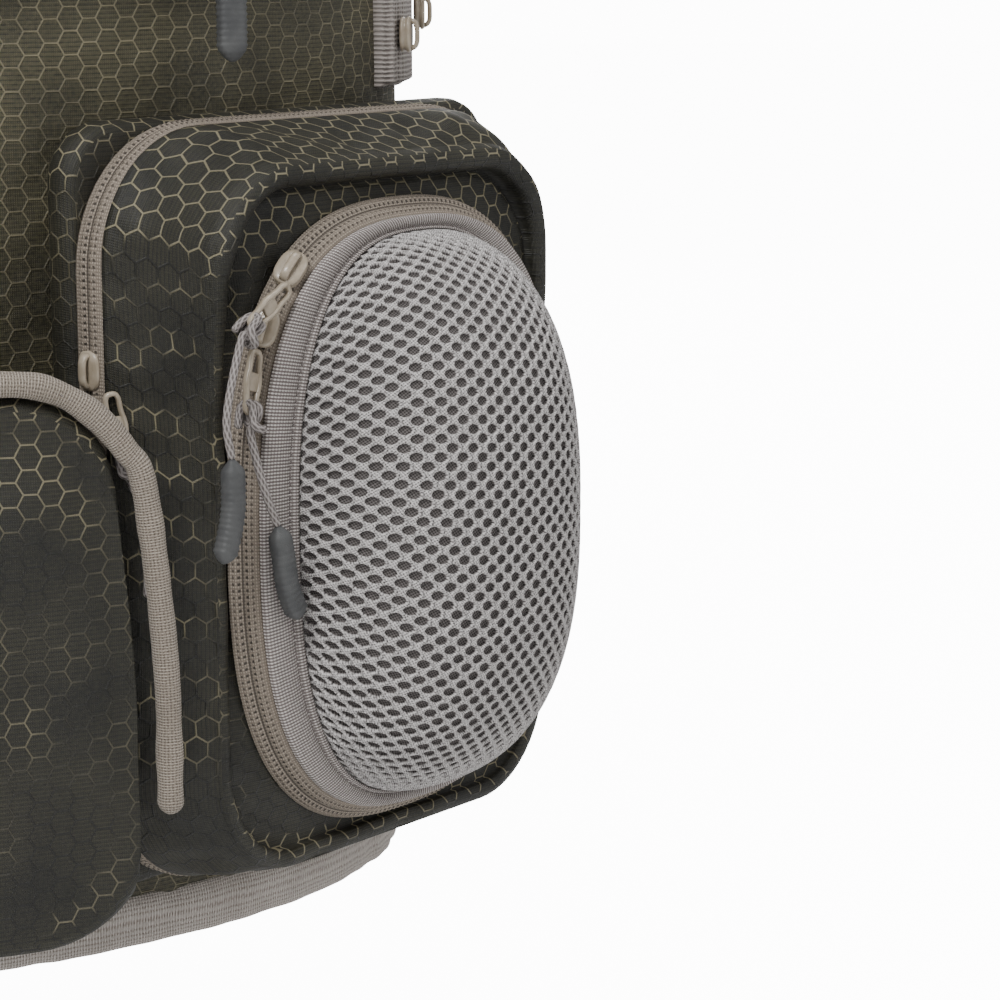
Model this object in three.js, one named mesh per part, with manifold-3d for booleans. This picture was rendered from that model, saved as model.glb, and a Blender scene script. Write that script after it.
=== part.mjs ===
// Fishing vest with two stuffed cargo pockets, each carrying a moulded, zipped fly pod.
// Millimetres, +Z up. The origin is the middle of the shoulder line, where the vest hangs;
// the front faces -Y, and the wearer's left is +X.
import * as THREE from "three";
import { mergeVertices } from "three/addons/utils/BufferGeometryUtils.js";
import Module from "manifold-3d";

const wasm = await Module();
wasm.setup();

// ---- driving sizes -------------------------------------------------------------------

const FIT = 0.3; // gap kept between sewn neighbours

// body of the vest
const VEST_LENGTH = 620;
const TORSO_HALF_WIDTH = 215;
const TORSO_HALF_DEPTH = 140;
const SHELL_THICKNESS = 2;
const CHEST_RISE = 420; // height above the hem where the front starts to lean to the shoulder
const ARMHOLE_RISE = 370;
const NECK_RISE = 455; // top of the front zip
const NECK_HALF_WIDTH = 78;
const ARMHOLE_HALF_WIDTH = 165;
const SHOULDER_SLOPE = 0.3;
const YOKE_ARC = Math.PI / 3; // from the chest line to where the shoulder straps are narrowest
const SIDE_SEAM = Math.PI / 2;
const HEM_HEIGHT = 16;
const HEM_THICKNESS = 4;
const COLLAR_RADIUS = 4;
const COLLAR_EASE = 1; // room between the neck's edge and the collar

// front zip
const FRONT_ZIP_WIDTH = 12;
const FRONT_ZIP_THICKNESS = 3;

// cargo pocket
const CARGO_WIDTH = 172;
const CARGO_HEIGHT = 216;
const CARGO_FACING = 42; // degrees that the pocket looks away from straight ahead
const CARGO_RISE = 134;
const FLANGE_DEPTH = 8;
const FLANGE_CORNER = 16;
const FLANGE_TUCK = 16;
const FLANGE_FOLD = 3;
const CARGO_ZIP_DEPTH = 9.5;
const CARGO_ZIP_INSET = 3;
const CARGO_CORNER = 36;
const CARGO_FRONT_DEPTH = 14;
const FRONT_OVERLAP = 1;
const FACE_INSET_INNER = 25;
const FACE_INSET_TOP = 10;

// moulded pod on the cargo pocket
const POD_WIDTH = 140;
const POD_HEIGHT = 184;
const POD_OFFSET_ACROSS = 15.5;
const POD_OFFSET_UP = -8;
const POD_SQUARENESS = 2.6; // 2 is an ellipse, larger is squarer
const POD_ZIP_RUN = 5;
const POD_ZIP_DEPTH = 7;
const POD_ZIP_WIDTH = 17;
const POD_BAND_WIDTH = 14;
const POD_BAND_THICKNESS = 2;
const POD_BAND_NARROWING = 0.3; // how wide the band is above and below, as a share of its sides
const POD_DOME_HEIGHT = 43;
const POD_DOME_FULLNESS = 2.7; // 2 is half an ellipse, larger is fuller near the rim
const POD_WALL = 4;
const FLY_FOAM_THICKNESS = 6;
const FLY_FOAM_WIDTH = 60;
const FLY_FOAM_HEIGHT = 125;
const FOAM_CORNER_ROOM = 7.4; // how much higher the rounded corner lets the foam sit

// front pocket
const FRONT_POCKET_WIDTH = 115;
const FRONT_POCKET_HEIGHT = 154;
const FRONT_POCKET_DEPTH = 42;
const FRONT_POCKET_FACING = 12;
const FRONT_POCKET_RISE = 96;
const FRONT_POCKET_ACROSS = 2.5;
const FRONT_POCKET_CORNER = 34;
const BINDING_RADIUS = 3;

// chest pocket
const CHEST_POCKET_WIDTH = 96;
const CHEST_POCKET_HEIGHT = 104;
const CHEST_POCKET_DEPTH = 14;
const CHEST_POCKET_FACING = 24.5;
const CHEST_POCKET_RISE = 340;
const CHEST_POCKET_CORNER = 10;
const CHEST_ZIP_ACROSS = 33;

// zip hardware
const SLIDER_LENGTH = 11;
const SLIDER_WIDTH = 8;
const SLIDER_THICKNESS = 4.5;
const LINK_LENGTH = 19;
const LINK_WIDTH = 6.4;
const LINK_THICKNESS = 2;
const CORD_DIAMETER = 2.3;
const GRIP_LENGTH = 28;
const GRIP_WIDTH = 6.5;
const GRIP_THICKNESS = 5.5;
const CARGO_SLIDER_UP = 43;
const CHEST_GRIP_LENGTH = 34;
const CHEST_GRIP_WIDTH = 8.5;
const FRONT_PULL_LENGTH = 30;
const FRONT_SLIDER_BELOW_NECK = 40;

// flank zip
const FLANK_ZIP_FROM = 72;
const FLANK_ZIP_TO = 88;
const FLANK_ZIP_PROUD = 8;
const FLANK_INNER_ANGLE = 75;
const FLANK_INNER_RISE = 262;
const FLANK_OUTER_ANGLE = 86;
const FLANK_OUTER_RISE = 268;

const CLOTH = { color: 0x3d3f2e, roughness: 0.85, metalness: 0 };
const KNIT = { color: 0xa59b8e, roughness: 0.95, metalness: 0 };
const MESH = { color: 0x9b9896, roughness: 0.9, metalness: 0 };
const RUBBER = { color: 0x5c5b59, roughness: 0.6, metalness: 0 };
const ENAMEL = { color: 0x9c8f7d, roughness: 0.35, metalness: 0.1 };
const FOAM = { color: 0xd8d2c4, roughness: 0.95, metalness: 0 };

const vest = new THREE.Group();
const degrees = Math.PI / 180;

// ---- solids --------------------------------------------------------------------------

// Keeps only positions, joins shared corners and makes the faces point outwards.
function closedBody(geometry) {
  const plain = geometry.clone();
  plain.deleteAttribute("normal");
  plain.deleteAttribute("uv");
  const body = mergeVertices(plain, 1e-3);
  const point = [new THREE.Vector3(), new THREE.Vector3(), new THREE.Vector3()];
  const index = body.index.array;
  let volume = 0;
  for (let i = 0; i < index.length; i += 3) {
    point.forEach((corner, k) => corner.fromBufferAttribute(body.attributes.position, index[i + k]));
    volume += point[0].dot(point[1].clone().cross(point[2]));
  }
  if (volume < 0) {
    for (let i = 0; i < index.length; i += 3) {
      [index[i], index[i + 1]] = [index[i + 1], index[i]];
    }
  }
  return body;
}

// Moves every corner of a geometry to where the function puts it.
function reshape(geometry, place) {
  const position = geometry.attributes.position;
  const corner = new THREE.Vector3();
  for (let i = 0; i < position.count; i += 1) {
    corner.fromBufferAttribute(position, i);
    const moved = place(corner.x, corner.y, corner.z);
    position.setXYZ(i, moved.x, moved.y, moved.z);
  }
  return geometry;
}

function toSolid(geometry) {
  const body = closedBody(geometry);
  return new wasm.Manifold(new wasm.Mesh({
    numProp: 3,
    vertProperties: new Float32Array(body.attributes.position.array),
    triVerts: new Uint32Array(body.index.array),
  }));
}

function toGeometry(solid) {
  const mesh = solid.getMesh();
  const geometry = new THREE.BufferGeometry();
  geometry.setAttribute("position", new THREE.BufferAttribute(new Float32Array(mesh.vertProperties), 3));
  geometry.setIndex(new THREE.BufferAttribute(new Uint32Array(mesh.triVerts), 1));
  return geometry;
}

function cut(geometry, ...tools) {
  return toGeometry(tools.reduce((solid, tool) => solid.subtract(toSolid(tool)), toSolid(geometry)));
}

function join(geometry, ...others) {
  return toGeometry(others.reduce((solid, other) => solid.add(toSolid(other)), toSolid(geometry)));
}

function addPiece(parent, name, geometry, finish) {
  const piece = new THREE.Mesh(closedBody(geometry), new THREE.MeshStandardMaterial(finish));
  piece.name = name;
  parent.add(piece);
  return piece;
}

// A slab bent to shape: across, up and out run from 0 to 1.
function bentSlab(columns, rows, place) {
  const slab = new THREE.BoxGeometry(1, 1, 1, columns, rows, 1);
  return reshape(slab, (x, y, z) => place(x + 0.5, y + 0.5, z + 0.5));
}

function mix(from, to, share) {
  return from + (to - from) * share;
}

// Rounded outline about a middle point.
function roundedOutline(width, height, corner, across = 0, up = 0) {
  const shape = new THREE.Shape();
  const right = across + width / 2;
  const left = across - width / 2;
  const top = up + height / 2;
  const bottom = up - height / 2;
  shape.moveTo(left + corner, bottom);
  shape.lineTo(right - corner, bottom);
  shape.absarc(right - corner, bottom + corner, corner, -Math.PI / 2, 0);
  shape.lineTo(right, top - corner);
  shape.absarc(right - corner, top - corner, corner, 0, Math.PI / 2);
  shape.lineTo(left + corner, top);
  shape.absarc(left + corner, top - corner, corner, Math.PI / 2, Math.PI);
  shape.lineTo(left, bottom + corner);
  shape.absarc(left + corner, bottom + corner, corner, Math.PI, 1.5 * Math.PI);
  return shape;
}

// A block of that outline between two distances out from the pocket's plane.
function outlineBlock(outline, from, to) {
  const block = new THREE.ExtrudeGeometry(outline, { depth: to - from, bevelEnabled: false, curveSegments: 6 });
  return block.translate(0, 0, from);
}

// A round bar along a smooth path.
function bar(points, radius, steps, sides = 8) {
  const section = new THREE.Shape();
  for (let i = 0; i < sides; i += 1) {
    const turn = (i / sides) * 2 * Math.PI;
    const corner = [radius * Math.cos(turn), radius * Math.sin(turn)];
    if (i === 0) {
      section.moveTo(...corner);
    } else {
      section.lineTo(...corner);
    }
  }
  const path = new THREE.CatmullRomCurve3(points);
  return new THREE.ExtrudeGeometry(section, { steps, extrudePath: path, bevelEnabled: false });
}

function mirrored(geometry) {
  return reshape(geometry.clone(), (x, y, z) => new THREE.Vector3(-x, y, z));
}

// ---- body of the vest ----------------------------------------------------------------

// A point of the worn vest: angle round the body from the front, arc over the shoulder
// from the chest line (0) over the ridge (a quarter turn), drop below the chest line.
function bodyPoint(angle, arc, drop, proud) {
  const reach = TORSO_HALF_WIDTH * Math.abs(Math.sin(angle));
  const ridge = VEST_LENGTH - SHOULDER_SLOPE * Math.max(0, reach - NECK_HALF_WIDTH);
  return new THREE.Vector3(
    (TORSO_HALF_WIDTH + proud) * Math.sin(angle),
    -(TORSO_HALF_DEPTH + proud) * Math.cos(angle) * Math.cos(arc),
    CHEST_RISE - drop - VEST_LENGTH + (ridge + proud - CHEST_RISE) * Math.sin(arc),
  );
}

// The same point by its height above the hem along the cloth.
const SHOULDER_RUN = 250; // cloth length from the chest line to the ridge
function clothPoint(angle, rise, proud) {
  const arc = Math.max(0, rise - CHEST_RISE) / SHOULDER_RUN * (Math.PI / 2);
  return bodyPoint(angle, arc, Math.max(0, CHEST_RISE - rise), proud);
}

const PANEL_TOP = CHEST_RISE + SHOULDER_RUN * YOKE_ARC / (Math.PI / 2);
const seamAngle = (half) => Math.asin(half / TORSO_HALF_WIDTH);
const SEAM_GAP = FIT / TORSO_HALF_DEPTH;
const ZIP_EDGE = seamAngle(FRONT_ZIP_WIDTH / 2 + FIT);

function armholeAngle(rise) {
  const share = Math.min(1, Math.max(0, rise - ARMHOLE_RISE) / (PANEL_TOP - ARMHOLE_RISE));
  const narrowed = Math.sqrt(share * (2 - share));
  return mix(SIDE_SEAM, seamAngle(ARMHOLE_HALF_WIDTH), narrowed);
}

function neckAngle(rise) {
  const share = Math.min(1, Math.max(0, rise - NECK_RISE) / (PANEL_TOP - NECK_RISE));
  return mix(ZIP_EDGE, seamAngle(NECK_HALF_WIDTH), share);
}

// Rows lie closer together just above the foot of the armhole, where its curve is tight.
const PANEL_FOOT = HEM_HEIGHT + FIT;
const ROWS_BELOW = 5;
const ROWS_ABOVE = 9;
function panelRise(up) {
  const row = Math.round(up * (ROWS_BELOW + ROWS_ABOVE));
  if (row <= ROWS_BELOW) {
    return mix(PANEL_FOOT, ARMHOLE_RISE, row / ROWS_BELOW);
  }
  return mix(ARMHOLE_RISE, PANEL_TOP, ((row - ROWS_BELOW) / ROWS_ABOVE) ** 1.6);
}

// Up the front as above, then on over the shoulder to the seam behind it.
const ROWS_OVER = 8;
const SHOULDER_SEAM = 2 * (CHEST_RISE + SHOULDER_RUN) - PANEL_TOP - FIT;
function frontPanelRise(up) {
  const row = Math.round(up * (ROWS_BELOW + ROWS_ABOVE + ROWS_OVER));
  if (row <= ROWS_BELOW + ROWS_ABOVE) {
    return panelRise(row / (ROWS_BELOW + ROWS_ABOVE));
  }
  return mix(PANEL_TOP, SHOULDER_SEAM, (row - ROWS_BELOW - ROWS_ABOVE) / ROWS_OVER);
}

const shellProud = (out) => mix(-SHELL_THICKNESS / 2, SHELL_THICKNESS / 2, out);

function frontPanel() {
  return bentSlab(10, ROWS_BELOW + ROWS_ABOVE + ROWS_OVER, (across, up, out) => {
    const rise = frontPanelRise(up);
    return clothPoint(mix(neckAngle(rise), armholeAngle(rise) - SEAM_GAP, across), rise, shellProud(out));
  });
}

function backPanel() {
  return bentSlab(22, ROWS_BELOW + ROWS_ABOVE, (across, up, out) => {
    const rise = panelRise(up);
    const edge = armholeAngle(rise) - SEAM_GAP;
    return clothPoint(mix(Math.PI - edge, Math.PI + edge, across), rise, shellProud(out));
  });
}

function hemBand() {
  return bentSlab(48, 1, (across, up, out) => {
    const angle = mix(ZIP_EDGE, 2 * Math.PI - ZIP_EDGE, across);
    return clothPoint(angle, up * HEM_HEIGHT, mix(-HEM_THICKNESS / 2, HEM_THICKNESS / 2, out));
  });
}

// Knit band round the neck, just inside the edges of the panels and yokes.
function collar() {
  const inset = COLLAR_RADIUS + COLLAR_EASE;
  const side = [];
  for (const share of [0.12, 0.4, 0.7, 0.93]) {
    const rise = mix(NECK_RISE, PANEL_TOP, share);
    side.push(clothPoint(neckAngle(rise) - seamAngle(inset * 1.15), rise, 0));
  }
  for (const arc of [80, 100]) {
    side.push(bodyPoint(seamAngle(NECK_HALF_WIDTH - inset), arc * degrees, 0, 0));
  }
  const lift = inset / SHOULDER_RUN * (Math.PI / 2);
  const back = [0.8, 0.5, 0].map((share) => (
    bodyPoint(seamAngle(NECK_HALF_WIDTH * share), Math.PI - YOKE_ARC - lift * (1 + share ** 3), 0, 0)
  ));
  const half = [...side, ...back];
  const otherHalf = half.slice(0, -1).reverse().map((p) => new THREE.Vector3(-p.x, p.y, p.z));
  return bar([...half, ...otherHalf], COLLAR_RADIUS, 44);
}

function frontZip() {
  return bentSlab(2, 10, (across, up, out) => {
    const half = FRONT_ZIP_WIDTH / 2;
    const rise = mix(0, NECK_RISE - FIT, up);
    return clothPoint(seamAngle(mix(-half, half, across)), rise, mix(-1, FRONT_ZIP_THICKNESS - 1, out));
  });
}

addPiece(vest, "back_panel", backPanel(), CLOTH);
addPiece(vest, "hem_band", hemBand(), KNIT);
addPiece(vest, "collar", collar(), KNIT);
addPiece(vest, "front_zip", frontZip(), KNIT);

// The body as one block, a little proud of the shell, to shape what is sewn on it.
function bodyBlock() {
  const oval = new THREE.Shape();
  const proud = SHELL_THICKNESS / 2 + FIT;
  oval.absellipse(0, 0, TORSO_HALF_WIDTH + proud, TORSO_HALF_DEPTH + proud, 0, 2 * Math.PI);
  const block = new THREE.ExtrudeGeometry(oval, { depth: CHEST_RISE, bevelEnabled: false, curveSegments: 48 });
  return block.translate(0, 0, -VEST_LENGTH);
}

// ---- pocket planes -------------------------------------------------------------------

// A plane that touches the body where it faces that many degrees away from straight ahead.
// In it, x runs across, y up and z out from the body.
function pocketPlane(side, facing, rise) {
  const angle = Math.atan(Math.tan(facing * degrees) * TORSO_HALF_WIDTH / TORSO_HALF_DEPTH);
  const place = clothPoint(angle, 0, 0);
  const plane = new THREE.Group();
  plane.position.set(side * place.x, place.y, rise - VEST_LENGTH);
  plane.rotation.set(Math.PI / 2, 0, side * facing * degrees, "ZYX");
  plane.updateMatrixWorld();
  return plane;
}

// Brings a piece made on one plane (or on the body) into the measure of another plane.
function seenFrom(plane, geometry, home = vest) {
  const toPlane = plane.matrixWorld.clone().invert().multiply(home.matrixWorld);
  return geometry.clone().applyMatrix4(toPlane);
}

// ---- cargo pocket --------------------------------------------------------------------

const FLANGE_FACE = FLANGE_DEPTH;
const CARGO_ZIP_BACK = FLANGE_FACE + FIT;
const CARGO_ZIP_FACE = CARGO_ZIP_BACK + CARGO_ZIP_DEPTH;
const CARGO_FRONT_BACK = CARGO_ZIP_FACE + FIT;
const CARGO_FACE = CARGO_FRONT_BACK + CARGO_FRONT_DEPTH;
const BODY_FALL = 60; // deeper than the body curves away behind any pocket

function cargoBase(plane) {
  const flange = outlineBlock(
    roundedOutline(CARGO_WIDTH, CARGO_HEIGHT, FLANGE_CORNER),
    FLANGE_FACE - FLANGE_FOLD - FLANGE_DEPTH,
    FLANGE_FACE,
  );
  const tuck = outlineBlock(
    roundedOutline(CARGO_WIDTH - 2 * FLANGE_TUCK, CARGO_HEIGHT - FLANGE_TUCK, FLANGE_CORNER),
    -BODY_FALL,
    FLANGE_FACE - 1,
  );
  return cut(join(flange, tuck), seenFrom(plane, bodyBlock()));
}

function cargoZip() {
  const width = CARGO_WIDTH - 2 * CARGO_ZIP_INSET;
  const height = CARGO_HEIGHT - 2 * CARGO_ZIP_INSET;
  return outlineBlock(roundedOutline(width, height, CARGO_CORNER), CARGO_ZIP_BACK, CARGO_ZIP_FACE);
}

// The front half of the pocket: its face is smaller than its foot, most of all on the
// side towards the middle of the vest.
function cargoFront() {
  const half = CARGO_WIDTH / 2 - FRONT_OVERLAP;
  const halfUp = CARGO_HEIGHT / 2 - FRONT_OVERLAP;
  const block = outlineBlock(roundedOutline(2 * half, 2 * halfUp, CARGO_CORNER), CARGO_FRONT_BACK, CARGO_FACE);
  return reshape(block, (x, y, z) => {
    const rising = (z - CARGO_FRONT_BACK) / CARGO_FRONT_DEPTH;
    const inner = FACE_INSET_INNER * (half - x) / (2 * half);
    const top = FACE_INSET_TOP * (halfUp + y) / (2 * halfUp);
    return new THREE.Vector3(x + inner * rising, y - top * rising, z);
  });
}

// The room that the cargo pocket takes, which the front pocket is shaped round.
function cargoRoom() {
  const clear = 1;
  const outline = roundedOutline(CARGO_WIDTH + 2 * clear, CARGO_HEIGHT + 2 * clear, FLANGE_CORNER);
  return outlineBlock(outline, -BODY_FALL, CARGO_FACE + clear);
}

// ---- moulded pod ---------------------------------------------------------------------

const POD_ZIP_BACK = CARGO_FACE + FIT;
const POD_ZIP_FACE = POD_ZIP_BACK + POD_ZIP_DEPTH;
const POD_BAND_BACK = POD_ZIP_FACE + FIT;
const POD_BAND_FACE = POD_BAND_BACK + POD_BAND_THICKNESS;
const POD_BAND_INSET = POD_ZIP_RUN;
const POD_DOME_INSET = POD_BAND_INSET + POD_BAND_WIDTH + FIT;
const POD_SIDES = 36;
const POD_WALL_SHARE = 1 - POD_WALL / (POD_WIDTH / 2 - POD_DOME_INSET);
const POD_RADIUS = 100; // radius that the ring profiles are drawn at

// How far an inset draws the outline in above and below, where the band is narrower.
function insetUp(inset) {
  return Math.min(inset, POD_ZIP_RUN) + POD_BAND_NARROWING * Math.max(0, inset - POD_ZIP_RUN);
}

// A point of the pod's outline, drawn in by the inset and scaled by the share.
function podPoint(turn, inset, share, out) {
  const power = 2 / POD_SQUARENESS;
  const across = Math.sign(Math.cos(turn)) * Math.abs(Math.cos(turn)) ** power;
  const up = Math.sign(Math.sin(turn)) * Math.abs(Math.sin(turn)) ** power;
  return new THREE.Vector3(
    POD_OFFSET_ACROSS + (POD_WIDTH / 2 - inset) * across * share,
    POD_OFFSET_UP + (POD_HEIGHT / 2 - insetUp(inset)) * up * share,
    out,
  );
}

// A ring round the pod from a profile of [inset, out] corners.
function podRing(profile) {
  const corners = [...profile, profile[0]].map(([inset, out]) => new THREE.Vector2(POD_RADIUS - inset, out));
  const ring = new THREE.LatheGeometry(corners, POD_SIDES);
  return reshape(ring, (x, y, z) => podPoint(Math.atan2(z, x), POD_RADIUS - Math.hypot(x, z), 1, y));
}

// A bowl whose rim follows the pod's outline, from a profile of [share of the rim, out].
function podBowl(inset, profile) {
  const corners = profile.map(([share, out]) => new THREE.Vector2(share, out));
  const bowl = new THREE.LatheGeometry(corners, POD_SIDES);
  return reshape(bowl, (x, y, z) => podPoint(Math.atan2(z, x), inset, Math.hypot(x, z), y));
}

function podZip() {
  return podRing([
    [0, POD_ZIP_BACK],
    [POD_ZIP_RUN, POD_ZIP_FACE],
    [POD_ZIP_WIDTH, POD_ZIP_FACE],
    [POD_ZIP_WIDTH, POD_ZIP_FACE - POD_BAND_THICKNESS],
    [POD_ZIP_RUN + POD_BAND_THICKNESS, POD_ZIP_FACE - POD_BAND_THICKNESS],
    [POD_ZIP_RUN, POD_ZIP_BACK],
  ]);
}

function podBand() {
  return podRing([
    [POD_BAND_INSET, POD_BAND_BACK],
    [POD_BAND_INSET, POD_BAND_FACE],
    [POD_BAND_INSET + POD_BAND_WIDTH, POD_BAND_FACE],
    [POD_BAND_INSET + POD_BAND_WIDTH, POD_BAND_BACK],
  ]);
}

// Height of the dome over a share of its rim: steep at the rim, flat on top.
function domeHeight(share, height) {
  return height * Math.sqrt(1 - Math.min(1, share) ** POD_DOME_FULLNESS);
}

function podCover() {
  const outer = [0, 0.25, 0.5, 0.7, 0.85, 0.95, 1];
  const inner = [0.97, 0.86, 0.7, 0.5, 0.25, 0];
  const profile = outer.map((share) => [share, POD_BAND_BACK + domeHeight(share, POD_DOME_HEIGHT)]);
  profile.push([POD_WALL_SHARE, POD_BAND_BACK]);
  for (const share of inner) {
    profile.push([share * POD_WALL_SHARE, POD_BAND_BACK + domeHeight(share, POD_DOME_HEIGHT - POD_WALL)]);
  }
  return podBowl(POD_DOME_INSET, profile);
}

// Foam sheet that flies are hooked in, lying flat against the inside of the cover's rim.
function flyFoam() {
  const outline = roundedOutline(FLY_FOAM_WIDTH, FLY_FOAM_HEIGHT, 14, POD_OFFSET_ACROSS, POD_OFFSET_UP);
  const roomAcross = (POD_WIDTH / 2 - POD_DOME_INSET) * POD_WALL_SHARE;
  const roomUp = (POD_HEIGHT / 2 - insetUp(POD_DOME_INSET)) * POD_WALL_SHARE;
  const cornerShare = (
    (FLY_FOAM_WIDTH / 2 / roomAcross) ** POD_SQUARENESS + (FLY_FOAM_HEIGHT / 2 / roomUp) ** POD_SQUARENESS
  ) ** (1 / POD_SQUARENESS);
  const face = POD_BAND_BACK + domeHeight(cornerShare, POD_DOME_HEIGHT - POD_WALL) + FOAM_CORNER_ROOM;
  return outlineBlock(outline, face - FLY_FOAM_THICKNESS, face);
}

// ---- zip sliders, pull links, cords and grips -----------------------------------------

// A thin block whose long way runs along one direction and whose thickness faces another.
function strap(length, width, thickness, middle, along, facing) {
  const up = along.clone().normalize();
  const out = facing.clone().addScaledVector(up, -facing.dot(up)).normalize();
  const across = up.clone().cross(out);
  const turn = new THREE.Matrix4().makeBasis(across, up, out).setPosition(middle);
  return new THREE.BoxGeometry(width, length, thickness, 1, 2, 1).applyMatrix4(turn);
}

const point = (across, up, out) => new THREE.Vector3(across, up, out);

// A pull hanging from a slider: link, cord through it, and the grip on the cord.
function pullChain(names, linkTop, linkEnd, cordPoints, gripTop, gripEnd, facing) {
  const linkMiddle = linkTop.clone().lerp(linkEnd, 0.5);
  const linkRun = linkEnd.clone().sub(linkTop);
  const linkSolid = strap(linkRun.length(), LINK_WIDTH, LINK_THICKNESS, linkMiddle, linkRun, facing);
  const gripRun = gripEnd.clone().sub(gripTop);
  const gripMiddle = gripTop.clone().lerp(gripEnd, 0.5);
  const gripSolid = strap(gripRun.length(), GRIP_WIDTH, GRIP_THICKNESS, gripMiddle, gripRun, facing);
  const first = linkEnd.clone().addScaledVector(linkRun.normalize(), FIT + 0.4 * CORD_DIAMETER);
  const last = gripTop.clone().addScaledVector(gripRun.normalize(), -FIT);
  const cordSolid = bar([first, ...cordPoints, last], CORD_DIAMETER / 2, 12);
  return [linkSolid, cordSolid, gripSolid].map((solid, i) => [names[i], solid, [ENAMEL, KNIT, RUBBER][i]]);
}

// Middle of a slider on the pod's sloping zip, at a turn round the pod.
function podSlider(turn) {
  const half = 0.5;
  const before = podPoint(turn - 0.02, POD_ZIP_RUN * half, 1, 0);
  const after = podPoint(turn + 0.02, POD_ZIP_RUN * half, 1, 0);
  const along = after.clone().sub(before).normalize();
  const outward = point(along.y, -along.x, 0);
  const slope = Math.hypot(POD_ZIP_RUN, POD_ZIP_DEPTH);
  const facing = outward.clone().multiplyScalar(POD_ZIP_DEPTH / slope).add(point(0, 0, POD_ZIP_RUN / slope));
  const seat = podPoint(turn, POD_ZIP_RUN * half, 1, (POD_ZIP_BACK + POD_ZIP_FACE) / 2);
  const middle = seat.clone().addScaledVector(facing, SLIDER_THICKNESS / 2 + FIT + 0.25);
  const solid = strap(SLIDER_LENGTH, SLIDER_WIDTH, SLIDER_THICKNESS, middle, along, facing);
  return { middle, along, facing, solid };
}

// Where a link that hangs in a direction clears the lower end of its slider.
function hangFrom(slider, run) {
  const direction = run.clone().normalize();
  const lean = direction.clone().cross(slider.along).length();
  const reach = SLIDER_LENGTH / 2 + FIT + LINK_WIDTH / 2 * lean;
  return slider.middle.clone().addScaledVector(slider.along, reach).addScaledVector(slider.facing, 1);
}

const UPPER_LINK_LIFT = 4; // the upper link lies over the lower slider
const UPPER_SLIDER_TURN = 128.5 * degrees;
const LOWER_SLIDER_TURN = 144 * degrees;

function podPulls(side) {
  const upper = podSlider(UPPER_SLIDER_TURN);
  const lower = podSlider(LOWER_SLIDER_TURN);
  const face = POD_BAND_FACE;
  const ahead = point(0, 0, 1);
  const upperRun = point(-16.5, -9.5, 1);
  const lowerRun = point(-6, -17.5, 3);
  const upperTop = hangFrom(upper, upperRun).add(point(0, 0, UPPER_LINK_LIFT));
  const upperEnd = upperTop.clone().add(upperRun);
  const lowerTop = hangFrom(lower, lowerRun);
  const lowerEnd = lowerTop.clone().add(lowerRun);
  return [
    [`pod_slider_upper_${side}`, upper.solid, ENAMEL],
    [`pod_slider_lower_${side}`, lower.solid, ENAMEL],
    ...pullChain(
      ["link_upper", "cord_upper", "grip_upper"].map((piece) => `pod_${piece}_${side}`),
      upperTop,
      upperEnd,
      [upperEnd.clone().add(point(-5, -8, 0.5)), point(-67.5, 32, face + 5)],
      point(-66.5, 20.5, face + 5.5),
      point(-70.5, 20.5 - GRIP_LENGTH, face + 5.5),
      ahead,
    ),
    ...pullChain(
      ["link_lower", "cord_lower", "grip_lower"].map((piece) => `pod_${piece}_${side}`),
      lowerTop,
      lowerEnd,
      [lowerEnd.clone().add(point(-1, -7, 1.6)), point(-53, 10, face + 4)],
      point(-48, -1, face + 4),
      point(-40, -1 - GRIP_LENGTH, face + 4),
      ahead,
    ),
  ];
}

// The cargo zip's slider on the pocket's inner side, its link, and the cord below it.
function cargoPull(side) {
  const wall = -(CARGO_WIDTH / 2 - CARGO_ZIP_INSET);
  const middle = point(wall - FIT - SLIDER_THICKNESS / 2, CARGO_SLIDER_UP, (CARGO_ZIP_BACK + CARGO_ZIP_FACE) / 2);
  const slider = strap(SLIDER_LENGTH, SLIDER_WIDTH, SLIDER_THICKNESS, middle, point(0, 1, 0), point(-1, 0, 0));
  const foot = -(CARGO_WIDTH / 2 - FRONT_OVERLAP);
  const steepness = Math.atan2(CARGO_FRONT_DEPTH, FACE_INSET_INNER);
  const facing = point(-Math.sin(steepness), 0, Math.cos(steepness));
  const onSide = (across, up, clear) => {
    const out = CARGO_FRONT_BACK + (across - foot) * Math.tan(steepness);
    return point(across, up, out).addScaledVector(facing, clear);
  };
  const top = onSide(foot + 0.9, CARGO_SLIDER_UP - SLIDER_LENGTH / 2 + 0.5, LINK_THICKNESS / 2 + 0.8);
  const end = onSide(foot + 3.6, top.y - LINK_LENGTH, LINK_THICKNESS / 2 + 0.6);
  const run = end.clone().sub(top);
  const link = strap(run.length(), LINK_WIDTH, LINK_THICKNESS, top.clone().lerp(end, 0.5), run, facing);
  const cordClear = CORD_DIAMETER / 2 + 0.5;
  const cord = bar([
    end.clone().addScaledVector(run.normalize(), FIT + CORD_DIAMETER / 4),
    onSide(foot + 4.6, end.y - 7, cordClear),
    onSide(foot + 6.4, end.y - 20, cordClear),
    onSide(foot + 6, end.y - 38, cordClear),
  ], CORD_DIAMETER / 2, 12);
  return [
    [`cargo_slider_${side}`, slider, ENAMEL],
    [`cargo_link_${side}`, link, ENAMEL],
    [`cargo_cord_${side}`, cord, KNIT],
  ];
}

// ---- front pocket --------------------------------------------------------------------

function frontPocket(plane, cargoPlane) {
  const outline = roundedOutline(
    FRONT_POCKET_WIDTH, FRONT_POCKET_HEIGHT, FRONT_POCKET_CORNER, FRONT_POCKET_ACROSS,
  );
  const block = outlineBlock(outline, -BODY_FALL, FRONT_POCKET_DEPTH);
  return cut(block, seenFrom(plane, bodyBlock()), seenFrom(plane, cargoRoom(), cargoPlane));
}

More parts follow.
